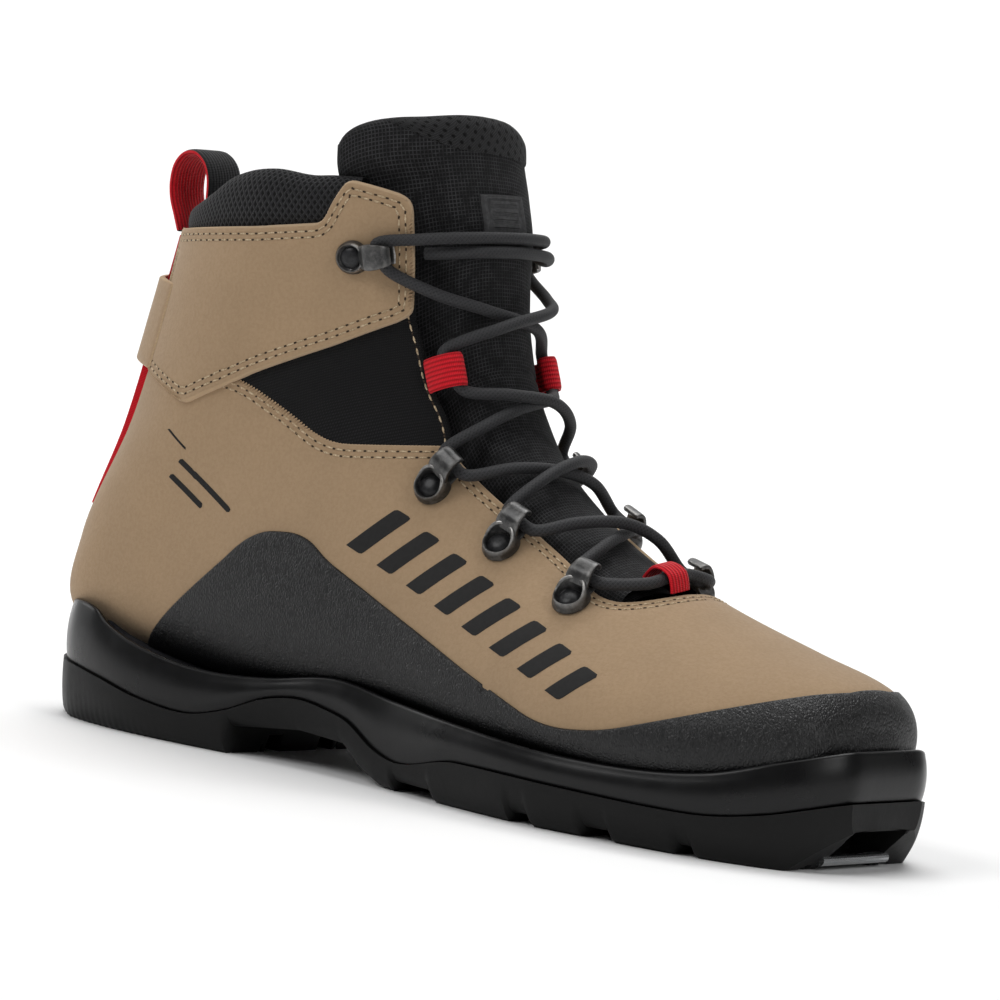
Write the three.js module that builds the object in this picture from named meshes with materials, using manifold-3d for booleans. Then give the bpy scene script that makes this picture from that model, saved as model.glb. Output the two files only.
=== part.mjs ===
// Cross country touring boot, right foot.
// Inside this file x runs from the heel to the toe, y is negative on the lateral (outer) side and
// z is up from the ground, all in millimetres. The group is moved so that its origin is under the middle.
import * as THREE from 'three';
import { mergeVertices } from 'three/addons/utils/BufferGeometryUtils.js';
import Module from 'manifold-3d';

const wasm = await Module();
wasm.setup();

// ---- driving dimensions ----------------------------------------------------------------------
const SOLE_LENGTH = 300;
const GAP = 0.3;                    // clearance between touching pieces
const LEATHER = 1.6;
const LINING = 2.5;
const PADDING = 6.5;                // thickness of the collar roll
const TONGUE_THICKNESS = 4;
const TONGUE_TOP = 195;
const BAR_DIAMETER = 3.2;           // steel bar that the binding grips
const BAR_CENTRE = { x: 291, z: 3 };
const NOSE_SLOT_HALF_WIDTH = 13;
const LACE_DIAMETER = 3.6;
const WEBBING_WIDTH = 10;
const KEEPER_WIDTH = 8;
const PULL_LOOP_WIDTH = 15;
const RIVET_DIAMETER = 7.4;
const EVERYWHERE = 90;              // half length of a cutter that passes right through the boot

// ---- the last: fan-shaped sections from the toe (at 0) round to the cuff (above 1) ------------
// low and high are the section's bottom (or back) and ridge points in x, z; lateral and medial
// are half widths; belly is where along low-high it is widest; roundLow and roundHigh shape its
// two ends; lean moves the ridge to the medial side.
const STATION_SIZES = ['at', 'lowX', 'lowZ', 'highX', 'highZ', 'lateral', 'medial', 'belly', 'roundLow',
  'roundHigh', 'lean'];
const STATIONS = [
  [0.00, 292, 23, 294, 38, 14, 14, 0.45, 0.80, 0.80, 1],
  [0.04, 288, 21, 292, 46, 24, 24, 0.40, 0.85, 0.85, 2],
  [0.10, 279, 19, 284, 52, 32, 33, 0.36, 0.86, 0.86, 2],
  [0.20, 256, 18, 261, 58, 43, 41, 0.32, 0.85, 0.98, 2],
  [0.32, 224, 17.5, 229, 67, 48, 44, 0.30, 0.85, 1.05, 2],
  [0.44, 184, 19, 196, 79, 44.5, 41, 0.30, 0.85, 1.00, 3],
  [0.54, 134, 23.5, 168, 97, 38.5, 36, 0.33, 0.85, 0.90, 5],
  [0.62, 76, 20.5, 152.5, 115, 37.5, 34, 0.38, 0.85, 0.80, 7],
  [0.70, 8, 27, 145.5, 134, 36, 34, 0.42, 0.85, 0.74, 7],
  [0.77, 2, 50, 142.5, 148, 36, 34, 0.44, 0.92, 0.72, 7],
  [0.85, 12, 86, 140.5, 162, 36, 34, 0.48, 1.10, 0.72, 7],
  [0.93, 20, 122, 138, 174, 36.5, 34, 0.50, 1.15, 0.74, 5],
  [1.00, 27, 152, 136, 187, 36.5, 34, 0.50, 1.15, 0.80, 3],
  [1.08, 32, 174, 134.5, 206, 37, 35, 0.50, 1.10, 0.85, 2],
];

// Plan of the sole: half widths on the two sides.
const SOLE_PLAN = [
  { x: 0, lateral: 3, medial: 3 }, { x: 2, lateral: 12, medial: 12 },
  { x: 8, lateral: 22, medial: 22 }, { x: 20, lateral: 32, medial: 31 },
  { x: 45, lateral: 38, medial: 37 }, { x: 80, lateral: 37, medial: 34 },
  { x: 110, lateral: 35, medial: 31 }, { x: 145, lateral: 38, medial: 35 },
  { x: 180, lateral: 46, medial: 45 }, { x: 210, lateral: 50, medial: 50 },
  { x: 240, lateral: 47, medial: 48.5 }, { x: 265, lateral: 42.5, medial: 44 },
  { x: 281, lateral: 36, medial: 38 }, { x: 290, lateral: 29, medial: 31.5 },
  { x: 296.5, lateral: 21.5, medial: 24.5 }, { x: SOLE_LENGTH, lateral: 15.5, medial: 18 },
];

// Side-view lines of the sole, as [x, z] points.
const RIM_LINE = [[0, 34], [18, 36], [28, 35], [36, 31], [52, 26.5], [75, 23.5], [98, 24.5], [125, 28.5],
  [150, 26], [180, 24], [215, 22], [245, 22], [268, 24.5], [285, 29.5], [300, 34.5]];
const PARTING_LINE = [[0, 17.5], [20, 17], [36, 15], [54, 11.5], [72, 10], [86, 13], [100, 18.5], [113, 20.5],
  [126, 19], [134, 17], [146, 11], [158, 9], [183, 13.5], [264, 12.5], [283, 15], [300, 20.3]];
const TREAD_LINE = [[0, 3], [8, 1], [18, 0], [86, 0], [88, 8.5], [112, 11], [130, 10], [138, 4], [146, 0.8],
  [153, 0], [288, 0], [300, 12]];

// ---- small helpers ----------------------------------------------------------------------------
/** Smooth interpolation through the points (xs, ys), held at both ends. */
function spline(xs, ys, x) {
  const last = xs.length - 1;
  const at = Math.min(Math.max(x, xs[0]), xs[last]);
  let i = 0;
  while (i < last - 1 && xs[i + 1] <= at) i += 1;
  const slope = (k) => {
    const a = Math.max(k - 1, 0);
    const b = Math.min(k + 1, last);
    return (ys[b] - ys[a]) / (xs[b] - xs[a]);
  };
  const h = xs[i + 1] - xs[i];
  const t = (at - xs[i]) / h;
  const t2 = t * t;
  const t3 = t2 * t;
  return (2 * t3 - 3 * t2 + 1) * ys[i] + (t3 - 2 * t2 + t) * h * slope(i)
    + (3 * t2 - 2 * t3) * ys[i + 1] + (t3 - t2) * h * slope(i + 1);
}

/** Straight-line interpolation along a side-view line of [x, z] points. */
function along(line, x) {
  let i = 0;
  while (i < line.length - 2 && line[i + 1][0] <= x) i += 1;
  const [x0, z0] = line[i];
  const [x1, z1] = line[i + 1];
  const t = Math.min(Math.max((x - x0) / (x1 - x0), 0), 1);
  return z0 + (z1 - z0) * t;
}

function smoothStep(edge0, edge1, x) {
  const t = Math.min(Math.max((x - edge0) / (edge1 - edge0), 0), 1);
  return t * t * (3 - 2 * t);
}

function toSolid(geometry) {
  const bare = geometry.index ? geometry.toNonIndexed() : geometry.clone();
  bare.deleteAttribute('normal');
  bare.deleteAttribute('uv');
  const welded = mergeVertices(bare, 1e-4);
  return new wasm.Manifold(new wasm.Mesh({
    numProp: 3,
    vertProperties: new Float32Array(welded.attributes.position.array),
    triVerts: new Uint32Array(welded.index.array),
  }));
}

function toGeometry(solid) {
  const mesh = solid.getMesh();
  const geometry = new THREE.BufferGeometry();
  geometry.setAttribute('position', new THREE.BufferAttribute(new Float32Array(mesh.vertProperties), 3));
  geometry.setIndex(new THREE.BufferAttribute(new Uint32Array(mesh.triVerts), 1));
  return geometry;
}

/** Closed surface through rings of equal point count, with a fan cap at each end. */
function loft(rings) {
  const count = rings[0].length;
  const points = rings.flat();
  const index = [];
  for (let r = 0; r + 1 < rings.length; r += 1) {
    for (let k = 0; k < count; k += 1) {
      const a = r * count + k;
      const b = r * count + ((k + 1) % count);
      index.push(a, b, a + count, b, b + count, a + count);
    }
  }
  const cap = (ring, flip) => {
    const middle = new THREE.Vector3();
    rings[ring].forEach((p) => middle.add(p));
    points.push(middle.divideScalar(count));
    const centre = points.length - 1;
    for (let k = 0; k < count; k += 1) {
      const a = ring * count + k;
      const b = ring * count + ((k + 1) % count);
      index.push(centre, flip ? b : a, flip ? a : b);
    }
  };
  cap(0, true);
  cap(rings.length - 1, false);
  const geometry = new THREE.BufferGeometry().setFromPoints(points);
  geometry.setIndex(index);
  return outward(geometry);
}

/** Turns a closed surface's faces to point out. */
function outward(geometry) {
  const p = geometry.attributes.position;
  const index = geometry.index.array;
  const corners = [new THREE.Vector3(), new THREE.Vector3(), new THREE.Vector3()];
  let volume = 0;
  for (let t = 0; t < index.length; t += 3) {
    corners.forEach((c, k) => c.fromBufferAttribute(p, index[t + k]));
    volume += corners[0].dot(corners[1].clone().cross(corners[2]));
  }
  if (volume < 0) {
    for (let t = 0; t < index.length; t += 3) [index[t + 1], index[t + 2]] = [index[t + 2], index[t + 1]];
  }
  return geometry;
}

/** Prism of a side-view outline of [x, z] points, between two values of y. */
function sidePrism(outline, yLow = -EVERYWHERE, yHigh = EVERYWHERE) {
  const shape = new THREE.Shape(outline.map(([x, z]) => new THREE.Vector2(x, z)));
  const geometry = new THREE.ExtrudeGeometry(shape, { depth: yHigh - yLow, bevelEnabled: false });
  geometry.rotateX(Math.PI / 2);
  geometry.translate(0, yHigh, 0);
  return toSolid(geometry);
}

function block(x0, x1, y0, y1, z0, z1) {
  const geometry = new THREE.BoxGeometry(x1 - x0, y1 - y0, z1 - z0);
  geometry.translate((x0 + x1) / 2, (y0 + y1) / 2, (z0 + z1) / 2);
  return toSolid(geometry);
}

// ---- the last as a surface --------------------------------------------------------------------
const station = Object.fromEntries(STATION_SIZES.map((name, k) => [name, STATIONS.map((row) => row[k])]));

function sizeAt(name, u) {
  return spline(station.at, station[name], u);
}

/** Point of the last: u from toe to cuff, v = 0 on the ridge, -1 and 1 at the bottom or back. */
function last(u, v) {
  const turn = Math.PI * (1 - Math.abs(v));
  const c = Math.cos(turn);
  const s = Math.sin(turn);
  const round = sizeAt(turn < Math.PI / 2 ? 'roundLow' : 'roundHigh', u);
  const even = 0.5 - 0.5 * Math.sign(c) * Math.abs(c) ** round;
  const share = Math.max(even, 1e-9) ** (Math.log(sizeAt('belly', u)) / Math.log(0.5));
  const width = sizeAt(v < 0 ? 'lateral' : 'medial', u) * Math.abs(s) ** round;
  const x = sizeAt('lowX', u) + (sizeAt('highX', u) - sizeAt('lowX', u)) * share;
  const z = sizeAt('lowZ', u) + (sizeAt('highZ', u) - sizeAt('lowZ', u)) * share;
  return new THREE.Vector3(x, (v < 0 ? -width : width) + sizeAt('lean', u) * share, z);
}

/** Outward normal of the last, from small steps either side. */
function lastNormal(u, v) {
  const step = 0.004;
  const u0 = Math.max(u - step, 0);
  const alongU = last(u + step, v).sub(last(u0, v));
  const wrap = (t) => (t > 1 ? t - 2 : t < -1 ? t + 2 : t);
  const aroundV = last(u, wrap(v + step)).sub(last(u, wrap(v - step)));
  return aroundV.cross(alongU).normalize();
}

/** Point at a height above the last. */
function above(u, v, height) {
  return last(u, v).add(lastNormal(u, v).multiplyScalar(height));
}

const SECTION_POINTS = 24;
const FAN = [0, 0.03, 0.07, 0.13, 0.2, 0.28, 0.36, 0.44, 0.5, 0.56, 0.62, 0.67, 0.72, 0.77, 0.83, 0.89, 0.95,
  1.01, 1.08];

/** Closed solid inside the last moved outward by height, a number or a function of v. */
function fanSolid(height, from = 0, to = 1.08) {
  const heightAt = typeof height === 'number' ? () => height : height;
  const sections = FAN.filter((u) => u >= from && u <= to);
  const rings = sections.map((u) => {
    const ring = [];
    for (let k = 0; k < SECTION_POINTS; k += 1) {
      const v = -1 + (2 * (k + 0.5)) / SECTION_POINTS;
      ring.push(above(u, v, heightAt(v)));
    }
    return ring;
  });
  if (from === 0) {
    const nose = new THREE.Vector3(heightAt(0), 0, 0);
    rings[0].forEach((p) => p.add(nose));
  }
  return toSolid(loft(rings));
}

function shell(inner, outer, from, to) {
  return fanSolid(outer, from, to).subtract(fanSolid(inner, from, to));
}

// ---- outlines of the panels, seen from the side ----------------------------------------------
const THROAT = [[225.5, 68.2], [222, 66], [216, 64.4], [209, 65.5], [196.5, 72], [178.5, 80.7], [161, 89.7],
  [150.6, 96.4], [147.5, 100], [143.5, 107.5], [136, 116.5], [129.7, 132], [128.3, 136], [126.3, 166.6], [125.4, 169]];
const QUARTER_TOP = [[-20, 112], [60, 112], [76.4, 110.6], [92.3, 103.8], [108.7, 95.7], [125.3, 97.5],
  [147.5, 100.3]];
const CUFF_TOP = [[35.6, 151], [77, 155.6], [100.8, 159.3], [104, 166.5], [108, 173], [116.5, 171.8], [123, 170.5],
  [125.4, 169]];
const CUFF = [...CUFF_TOP, [126.3, 166.6], [128.3, 136], [125.2, 133.4], [106.8, 124], [81.8, 113.2], [55.4, 100],
  [30, 107.5]];
const RAND_TOP = [[36, 20], [77.4, 56], [85, 63.5], [92.4, 67.4], [104, 68.4], [110.6, 67], [118, 62.2], [145, 51.5],
  [181, 39], [193, 35], [209, 30], [219, 29.2], [234, 30.8], [254.4, 37.5], [269.6, 43], [285, 48.4],
  [288.7, 49.3]];
const COLLAR_TOP = [[109.5, 174.5], [99, 173], [82, 173.2], [69, 171.3], [61.5, 168.8], [54, 164.5], [47.4, 161.3],
  [41.8, 159.5], [20, 158]];
const STRAP = [[5, 136], [40, 134.5], [34, 107.5], [5, 111]];

const FAR = 330;
const HIGH = 230;
const throatPrism = (grow = 0) => sidePrism([
  ...THROAT.map(([x, z]) => [x - grow, z - grow]), [125.4 - grow, HIGH], [FAR, HIGH], [FAR, 68.2 - grow]]);
const belowQuarterTop = (drop = 0) => sidePrism([
  ...QUARTER_TOP.map(([x, z]) => [x, z - drop]), [FAR, 100 - drop], [FAR, -20], [-20, -20]]);
const belowCuffTop = (drop = 0) => sidePrism([
  [-20, 149.5 - drop], ...CUFF_TOP.map(([x, z]) => [x, z - drop]), [FAR, 169 - drop], [FAR, -20], [-20, -20]]);

// ---- sole -------------------------------------------------------------------------------------
const planX = SOLE_PLAN.map((p) => p.x);
const planLateral = SOLE_PLAN.map((p) => p.lateral);
const planMedial = SOLE_PLAN.map((p) => p.medial);
const SOLE_SECTIONS = [0, 2, 5, 8, 13, 20, 28, 36, 45, 54, 63, 72, 80, 86, 88, 94, 100, 107, 113, 120, 126, 130,
  134, 138, 142, 146, 153, 158, 170, 183, 197, 210, 225, 240, 253, 264, 275, 283, 288, 292, 296, 300];

/** Loft along x of a section given as [share of the half width, z] points on the lateral side. */
function soleLoft(sectionAt, inset = 0, from = 0, to = SOLE_LENGTH) {
  const rings = SOLE_SECTIONS.filter((x) => x >= from && x <= to).map((x) => {
    const lateral = Math.max(spline(planX, planLateral, x) - inset, 0.5);
    const medial = Math.max(spline(planX, planMedial, x) - inset, 0.5);
    const side = sectionAt(x);
    const left = side.map(([share, z]) => new THREE.Vector3(x, -lateral * share, z));
    const right = side.map(([share, z]) => new THREE.Vector3(x, medial * share, z)).reverse();
    return [...left, ...right];
  });
  return toSolid(loft(rings));
}

const treadZ = (x) => along(TREAD_LINE, x);
const partingZ = (x) => spline(PARTING_LINE.map((p) => p[0]), PARTING_LINE.map((p) => p[1]), x);
const rimZ = (x) => spline(RIM_LINE.map((p) => p[0]), RIM_LINE.map((p) => p[1]), x);

const GUIDE_GROOVE = { centre: 12, halfWidth: 3.5, depth: 5 };
const SIDE_NOTCHES = [{ x: 163, width: 16 }, { x: 208, width: 6 }, { x: 234, width: 8 }, { x: 262, width: 4 }];
const NOTCH_HEIGHT = 3;

function makeOutsole() {
  const half = GAP / 2;
  let solid = soleLoft((x) => {
    const low = treadZ(x);
    const high = partingZ(x) - half;
    return [[0.86, low], [0.92, Math.min(low + 1.5, high - 1)], [1, high - 0.5], [0.99, high]];
  });
  const { centre, halfWidth, depth } = GUIDE_GROOVE;
  for (const side of [-1, 1]) {
    const [y0, y1] = [side * centre - halfWidth, side * centre + halfWidth];
    solid = solid.subtract(block(140, 266, y0, y1, -1, depth));
    solid = solid.subtract(block(-5, 89, y0, y1, -1, depth));
    for (const { x, width } of SIDE_NOTCHES) {
      const edge = spline(planX, side < 0 ? planLateral : planMedial, x);
      const [n0, n1] = [side * (edge - 12), side * (edge + 5)].sort((a, b) => a - b);
      solid = solid.subtract(block(x - width / 2, x + width / 2, n0, n1, -1, NOTCH_HEIGHT));
    }
  }
  solid = solid.subtract(block(272, FAR, -NOSE_SLOT_HALF_WIDTH, NOSE_SLOT_HALF_WIDTH, -1, 12.3));
  return solid.subtract(barSolid(BAR_DIAMETER + 2 * GAP, BAR_HALF_LENGTH + GAP));
}

const BAR_HALF_LENGTH = NOSE_SLOT_HALF_WIDTH + 2.6;

function barSolid(diameter, halfLength) {
  const geometry = new THREE.CylinderGeometry(diameter / 2, diameter / 2, 2 * halfLength, 16);
  geometry.translate(BAR_CENTRE.x, 0, BAR_CENTRE.z);
  return toSolid(geometry);
}

function makeBindingInsert() {
  const reach = NOSE_SLOT_HALF_WIDTH - GAP;
  const outline = [[272 + GAP, 1.5], [279, 1.5], [281, 4], [281, 12], [272 + GAP, 12]];
  return sidePrism(outline, -reach, reach);
}

const footprint = () => fanSolid(GAP);

function heelCushionSolid(grow) {
  return soleLoft((x) => {
    const low = partingZ(x) + 3 - grow;
    return [[0.94, low], [1, low + 1], [1, 40], [0.98, 41]];
  }, 9 - grow, 13, 80);
}

function makeMidsole() {
  const half = GAP / 2;
  const outer = soleLoft((x) => {
    const low = partingZ(x) + half;
    const high = rimZ(x);
    const middle = (low + high) / 2;
    return [[0.985, low], [1, low + 0.8], [0.99, middle], [1, high - 1.6], [0.985, high]];
  });
  return outer.subtract(footprint()).subtract(heelCushionSolid(GAP));
}

function makeHeelCushion() {
  const belowRim = sidePrism([...SOLE_SECTIONS.map((x) => [x, rimZ(x) - 3]), [FAR, 0], [0, 0]]);
  return heelCushionSolid(0).subtract(footprint()).intersect(belowRim);
}

// ---- inside the boot --------------------------------------------------------------------------
const INSIDE = -(LEATHER + LINING + 2 * GAP);
const BOARD_TOP = [[-5, 34], [30, 30.5], [76, 28.5], [134, 31.2], [184, 27], [224, 25.5], [300, 27.5]];
const FOOTBED_TOP = [[-5, 39], [30, 35.5], [76, 33], [134, 36], [184, 31.5], [224, 30], [300, 32]];
const SHANK = { x0: 84, x1: 158, halfWidth: 7, thickness: 1.3 };
const GROUND = [[-5, -5], [300, -5]];

const slab = (low, high) => sidePrism([...low, ...high.slice().reverse()]);
const lifted = (line, dz) => line.map(([x, z]) => [x, z + dz]);

function insideSolid() {
  const toeClearance = 284;
  return fanSolid(INSIDE).intersect(block(-20, toeClearance, -EVERYWHERE, EVERYWHERE, -5, HIGH));
}

/** Steel strip let into the top of the board; the pocket is the same strip grown by a gap. */
function shankSolid(grow, top) {
  const { x0, x1, halfWidth, thickness } = SHANK;
  const sides = block(x0 - grow, x1 + grow, -halfWidth - grow, halfWidth + grow, 0, HIGH);
  return slab(lifted(BOARD_TOP, -thickness - grow), lifted(BOARD_TOP, top)).intersect(sides);
}

function makeBoard() {
  return insideSolid().intersect(slab(GROUND, BOARD_TOP)).subtract(shankSolid(GAP, 5));
}

function makeFootbed() {
  return insideSolid().intersect(slab(lifted(BOARD_TOP, GAP), FOOTBED_TOP));
}

function makeLining() {
  const layer = shell(INSIDE + GAP, -(LEATHER + GAP)).subtract(counterPocket());
  return layer.intersect(belowCuffTop(0.6)).subtract(throatPrism(LINING + 2.5));
}

/** Stiff cup round the heel, let into the outside of the lining. */
function counterSolid(inner, outer, grow) {
  const cup = sidePrism([[-5, 32 - grow], [70 + grow, 32 - grow], [56 + grow, 62], [38 + grow, 78 + grow],
    [-5, 82 + grow]]);
  return shell(inner, outer).intersect(cup);
}

const COUNTER_THICKNESS = 1.1;
const LINING_OUTSIDE = -(LEATHER + GAP);
const makeHeelCounter = () => counterSolid(LINING_OUTSIDE - COUNTER_THICKNESS, LINING_OUTSIDE, 0);
const counterPocket = () => counterSolid(LINING_OUTSIDE - COUNTER_THICKNESS - GAP, 0, GAP);

// ---- upper ------------------------------------------------------------------------------------
const baseLayer = () => shell(-LEATHER, 0);
const backSlit = (x1, z0) => block(-20, x1, -GAP, GAP, z0, HIGH);

function makeLeatherUpper() {
  return baseLayer().intersect(belowQuarterTop()).subtract(throatPrism()).subtract(backSlit(40, 45));
}

function anklePanel(side) {
  const [y0, y1] = side < 0 ? [-EVERYWHERE, -GAP] : [GAP, EVERYWHERE];
  const half = block(-20, FAR, y0, y1, -5, HIGH);
  return baseLayer().intersect(belowCuffTop()).subtract(belowQuarterTop(-GAP))
    .subtract(throatPrism()).intersect(half);
}

function overlay(outline, side, thickness = LEATHER, lift = GAP) {
  const [y0, y1] = side < 0 ? [-EVERYWHERE, 0] : [0, EVERYWHERE];
  return shell(lift, lift + thickness).intersect(sidePrism(outline, y0, y1));
}

const RAND_THICKNESS = 1.1;

function makeRand() {
  const region = sidePrism([...RAND_TOP, [292, 51], [FAR, 60], [FAR, -5], [36, -5]]);
  const rand = shell(GAP, GAP + RAND_THICKNESS).intersect(region);
  return rand.subtract(rimAndBelow());
}

/** Everything lower than the sole's rim. */
function rimAndBelow() {
  const top = SOLE_SECTIONS.map((x) => [x, rimZ(x) + GAP]);
  return sidePrism([...top, [FAR, rimZ(SOLE_LENGTH)], [FAR, -20], [0, -20]]);
}

const strapLift = (v) => GAP + 2.8 * smoothStep(0.7, 0.88, Math.abs(v));

function makeHeelStrap() {
  const layer = fanSolid((v) => strapLift(v) + LEATHER).subtract(fanSolid(strapLift));
  return layer.intersect(sidePrism(STRAP)).subtract(cuffClearance());
}

const cuffClearance = () => sidePrism(CUFF.map(([x, z]) => [x - GAP, z]));

const HEEL_TAPE = { halfWidth: 13, thickness: 2.4, low: 60, high: 147 };

function makeHeelTape() {
  const { halfWidth, thickness, low, high } = HEEL_TAPE;
  const strip = block(-20, 40, -halfWidth, halfWidth, low, high);
  return shell(GAP, GAP + thickness).intersect(strip).subtract(cuffClearance());
}

function makeCollar() {
  const region = sidePrism([[-20, 149.8], ...CUFF_TOP.slice(0, 5).map(([x, z]) => [x, z + GAP]), ...COLLAR_TOP,
    [-20, 158]]);
  return shell(-PADDING - GAP, -GAP).intersect(region);
}

/** Webbing loop that stands on the back of the collar: a band seen from the side. */
const PULL_LOOP = [[22.6, 149.5], [20.6, 154], [18.4, 159], [17.6, 164], [18.6, 169.5], [21.8, 173], [26, 173.6],
  [30, 171], [32.2, 166.5], [32.8, 160]];
const PULL_LOOP_THICKNESS = 1.8;

function makePullLoop() {
  const path = new THREE.CatmullRomCurve3(PULL_LOOP.map(([x, z]) => new THREE.Vector3(x, 0, z)));
  const outline = { outer: [], inner: [] };
  const steps = 28;
  for (let k = 0; k <= steps; k += 1) {
    const p = path.getPointAt(k / steps);
    const t = path.getTangentAt(k / steps);
    const half = PULL_LOOP_THICKNESS / 2;
    outline.outer.push([p.x - t.z * half, p.z + t.x * half]);
    outline.inner.push([p.x + t.z * half, p.z - t.x * half]);
  }
  return sidePrism([...outline.outer, ...outline.inner.reverse()], -PULL_LOOP_WIDTH / 2, PULL_LOOP_WIDTH / 2);
}

// ---- tongue -----------------------------------------------------------------------------------
// Its wings lie inside the lining, and spread above the cuff.
const TONGUE = { front: -1.5, wing: -7.6, freeWing: -3.5, flat: 0.12, turned: 0.2, edge: 0.38 };

function tongueLift(u, v) {
  const wing = TONGUE.wing + (TONGUE.freeWing - TONGUE.wing) * smoothStep(0.995, 1.04, u);
  return TONGUE.front + (wing - TONGUE.front) * smoothStep(TONGUE.flat, TONGUE.turned, Math.abs(v));
}

/** Slab that follows the inside of the throat, between two sections of the fan. */
function tongueSlab(from, to) {
  const rings = [];
  const sections = FAN.filter((u) => u > from && u < to);
  const across = 14;
  for (const u of [from, ...sections, to]) {
    const outer = [];
    const inner = [];
    for (let k = 0; k <= across; k += 1) {
      const v = -TONGUE.edge + (2 * TONGUE.edge * k) / across;
      outer.push(above(u, v, tongueLift(u, v)));
      inner.push(above(u, v, tongueLift(u, v) - TONGUE_THICKNESS));
    }
    rings.push([...outer, ...inner.reverse()]);
  }
  return toSolid(loft(rings));
}

const TONGUE_HINGE = { x: 143, z: 114 };

function makeTongueLower() {
  const { x, z } = TONGUE_HINGE;
  const region = sidePrism([[60, z], [x, z], [FAR, z - 30], [FAR, 0], [60, 0]]);
  return tongueSlab(0.385, 0.77).intersect(region);
}

function makeTongueUpper() {
  const { x, z } = TONGUE_HINGE;
  const region = sidePrism([[60, z + 24], [x - 12, z + 4.5], [x, z + GAP], [FAR, z - 25], [FAR, TONGUE_TOP - 3],
    [128, TONGUE_TOP], [104, TONGUE_TOP - 2], [60, TONGUE_TOP - 8]]);
  return tongueSlab(0.58, 1.08).intersect(region);
}

const LABEL = { lowU: 0.846, highU: 0.925, lateralV: -0.06, medialV: 0.04, thickness: 1.4 };

function makeTongueLabel() {
  const rings = [];
  const { lowU, highU, lateralV, medialV, thickness } = LABEL;
  const steps = 4;
  for (let r = 0; r <= steps; r += 1) {
    const u = lowU + (highU - lowU) * (r / steps);
    const outer = [];
    const inner = [];
    for (let k = 0; k <= steps; k += 1) {
      const v = lateralV + (medialV - lateralV) * (k / steps);
      outer.push(above(u, v, TONGUE.front + GAP + thickness));
      inner.push(above(u, v, TONGUE.front + GAP));
    }
    rings.push([...outer, ...inner.reverse()]);
  }
  return toSolid(loft(rings));
}

// ---- lacing -----------------------------------------------------------------------------------
// Rows of the lacing: u along the last, v of the eye at the throat's edge (medial side positive).
const TOE_KEEPER = { u: 0.356, v: -0.05 };
const EYE_HEIGHT = 2.8;
const HOOK_ROWS = [{ u: 0.404, v: 0.176 }, { u: 0.497, v: 0.187 }, { u: 0.582, v: 0.223 }];
const LOOP_ROW = { u: 0.668, v: 0.158 };
const TOP_ROW = { u: 0.863, v: 0.297 };
const HOOK_NAMES = ['lower', 'middle', 'upper'];
const UNDER = 1.3;                  // lace height on the tongue at a crossing
const OVER = UNDER + LACE_DIAMETER + 0.4;

// half is how far along u the lace runs through the eye, and bend how far its two ends turn in.
const LACE_ROWS = [
  ...HOOK_ROWS.map((row) => ({ ...row, half: 0.015, bend: 0.002, height: EYE_HEIGHT })),
  { ...LOOP_ROW, half: 0.024, bend: 0, height: EYE_HEIGHT },
  { ...TOP_ROW, half: 0.02, bend: 0, height: EYE_HEIGHT + LEATHER - 0.3 },
];

/** Change of v with u on a line that crosses the lines of constant u at a right angle. */
function squareSlope(u, v) {
  const step = 0.01;
  const alongU = last(u + step, v).sub(last(u - step, v));
  const alongV = last(u, v + step).sub(last(u, v - step));
  return -alongU.dot(alongV) / alongV.lengthSq();
}

/** How far, in u, the point at v lies below the ridge point of the same section, along the ridge. */
function dip(u, v) {
  const step = 0.01;
  const alongRidge = last(u + step, 0).sub(last(u - step, 0)).setY(0);
  return (2 * step * last(u, 0).sub(last(u, v)).dot(alongRidge)) / alongRidge.lengthSq();
}

/** Way points of a run between two eyes, level across the ridge. */
function crossingRun(row, next, side, crossing) {
  return [0.25, 0.5, 0.75].map((t) => {
    const u = row.u + row.half + (next.u - next.half - row.u - row.half) * t;
    const v = side * (row.v - (row.v + next.v) * t);
    const eyeV = side * (row.v + (next.v - row.v) * t);
    const eyeHeight = t < 0.5 ? row.height : next.height;
    const shoulder = (eyeHeight + UNDER) / 2 + (crossing - UNDER) * 0.6;
    return [u - dip(u, eyeV) + dip(u, v), v, t === 0.5 ? crossing : shoulder];
  });
}

/** Way points [u, v, height] of one half of the lace, starting at the toe keeper. */
function laceHalf(firstSide, crossing) {
  const way = [];
  LACE_ROWS.forEach((row, k) => {
    const side = firstSide * (k % 2 ? -1 : 1);
    const slope = squareSlope(row.u, side * row.v);
    for (const step of [-1, 0, 1]) {
      const du = step * row.half;
      way.push([row.u + du, side * (row.v - row.bend * Math.abs(step)) + du * slope, row.height]);
    }
    if (k + 1 < LACE_ROWS.length) way.push(...crossingRun(row, LACE_ROWS[k + 1], side, crossing));
  });
  return [...way, ...lacingEnd(firstSide * (LACE_ROWS.length % 2 ? 1 : -1))];
}

/** Way points of the end that runs level from one top hook to the other cuff's edge. */
function lacingEnd(side) {
  const { u, v } = TOP_ROW;
  const rise = side < 0 ? 0.026 : 0.002;
  const leave = EYE_HEIGHT + LEATHER;
  return [[0.13, leave], [0.3, 2.8], [0.5, 2.4], [0.65, 2.3], [0.76, 2.2]].map(([t, height]) => {
    const place = side * v * (1 - 2 * t);
    return [u + rise - dip(u, v) + dip(u, place), place, height];
  });
}

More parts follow.
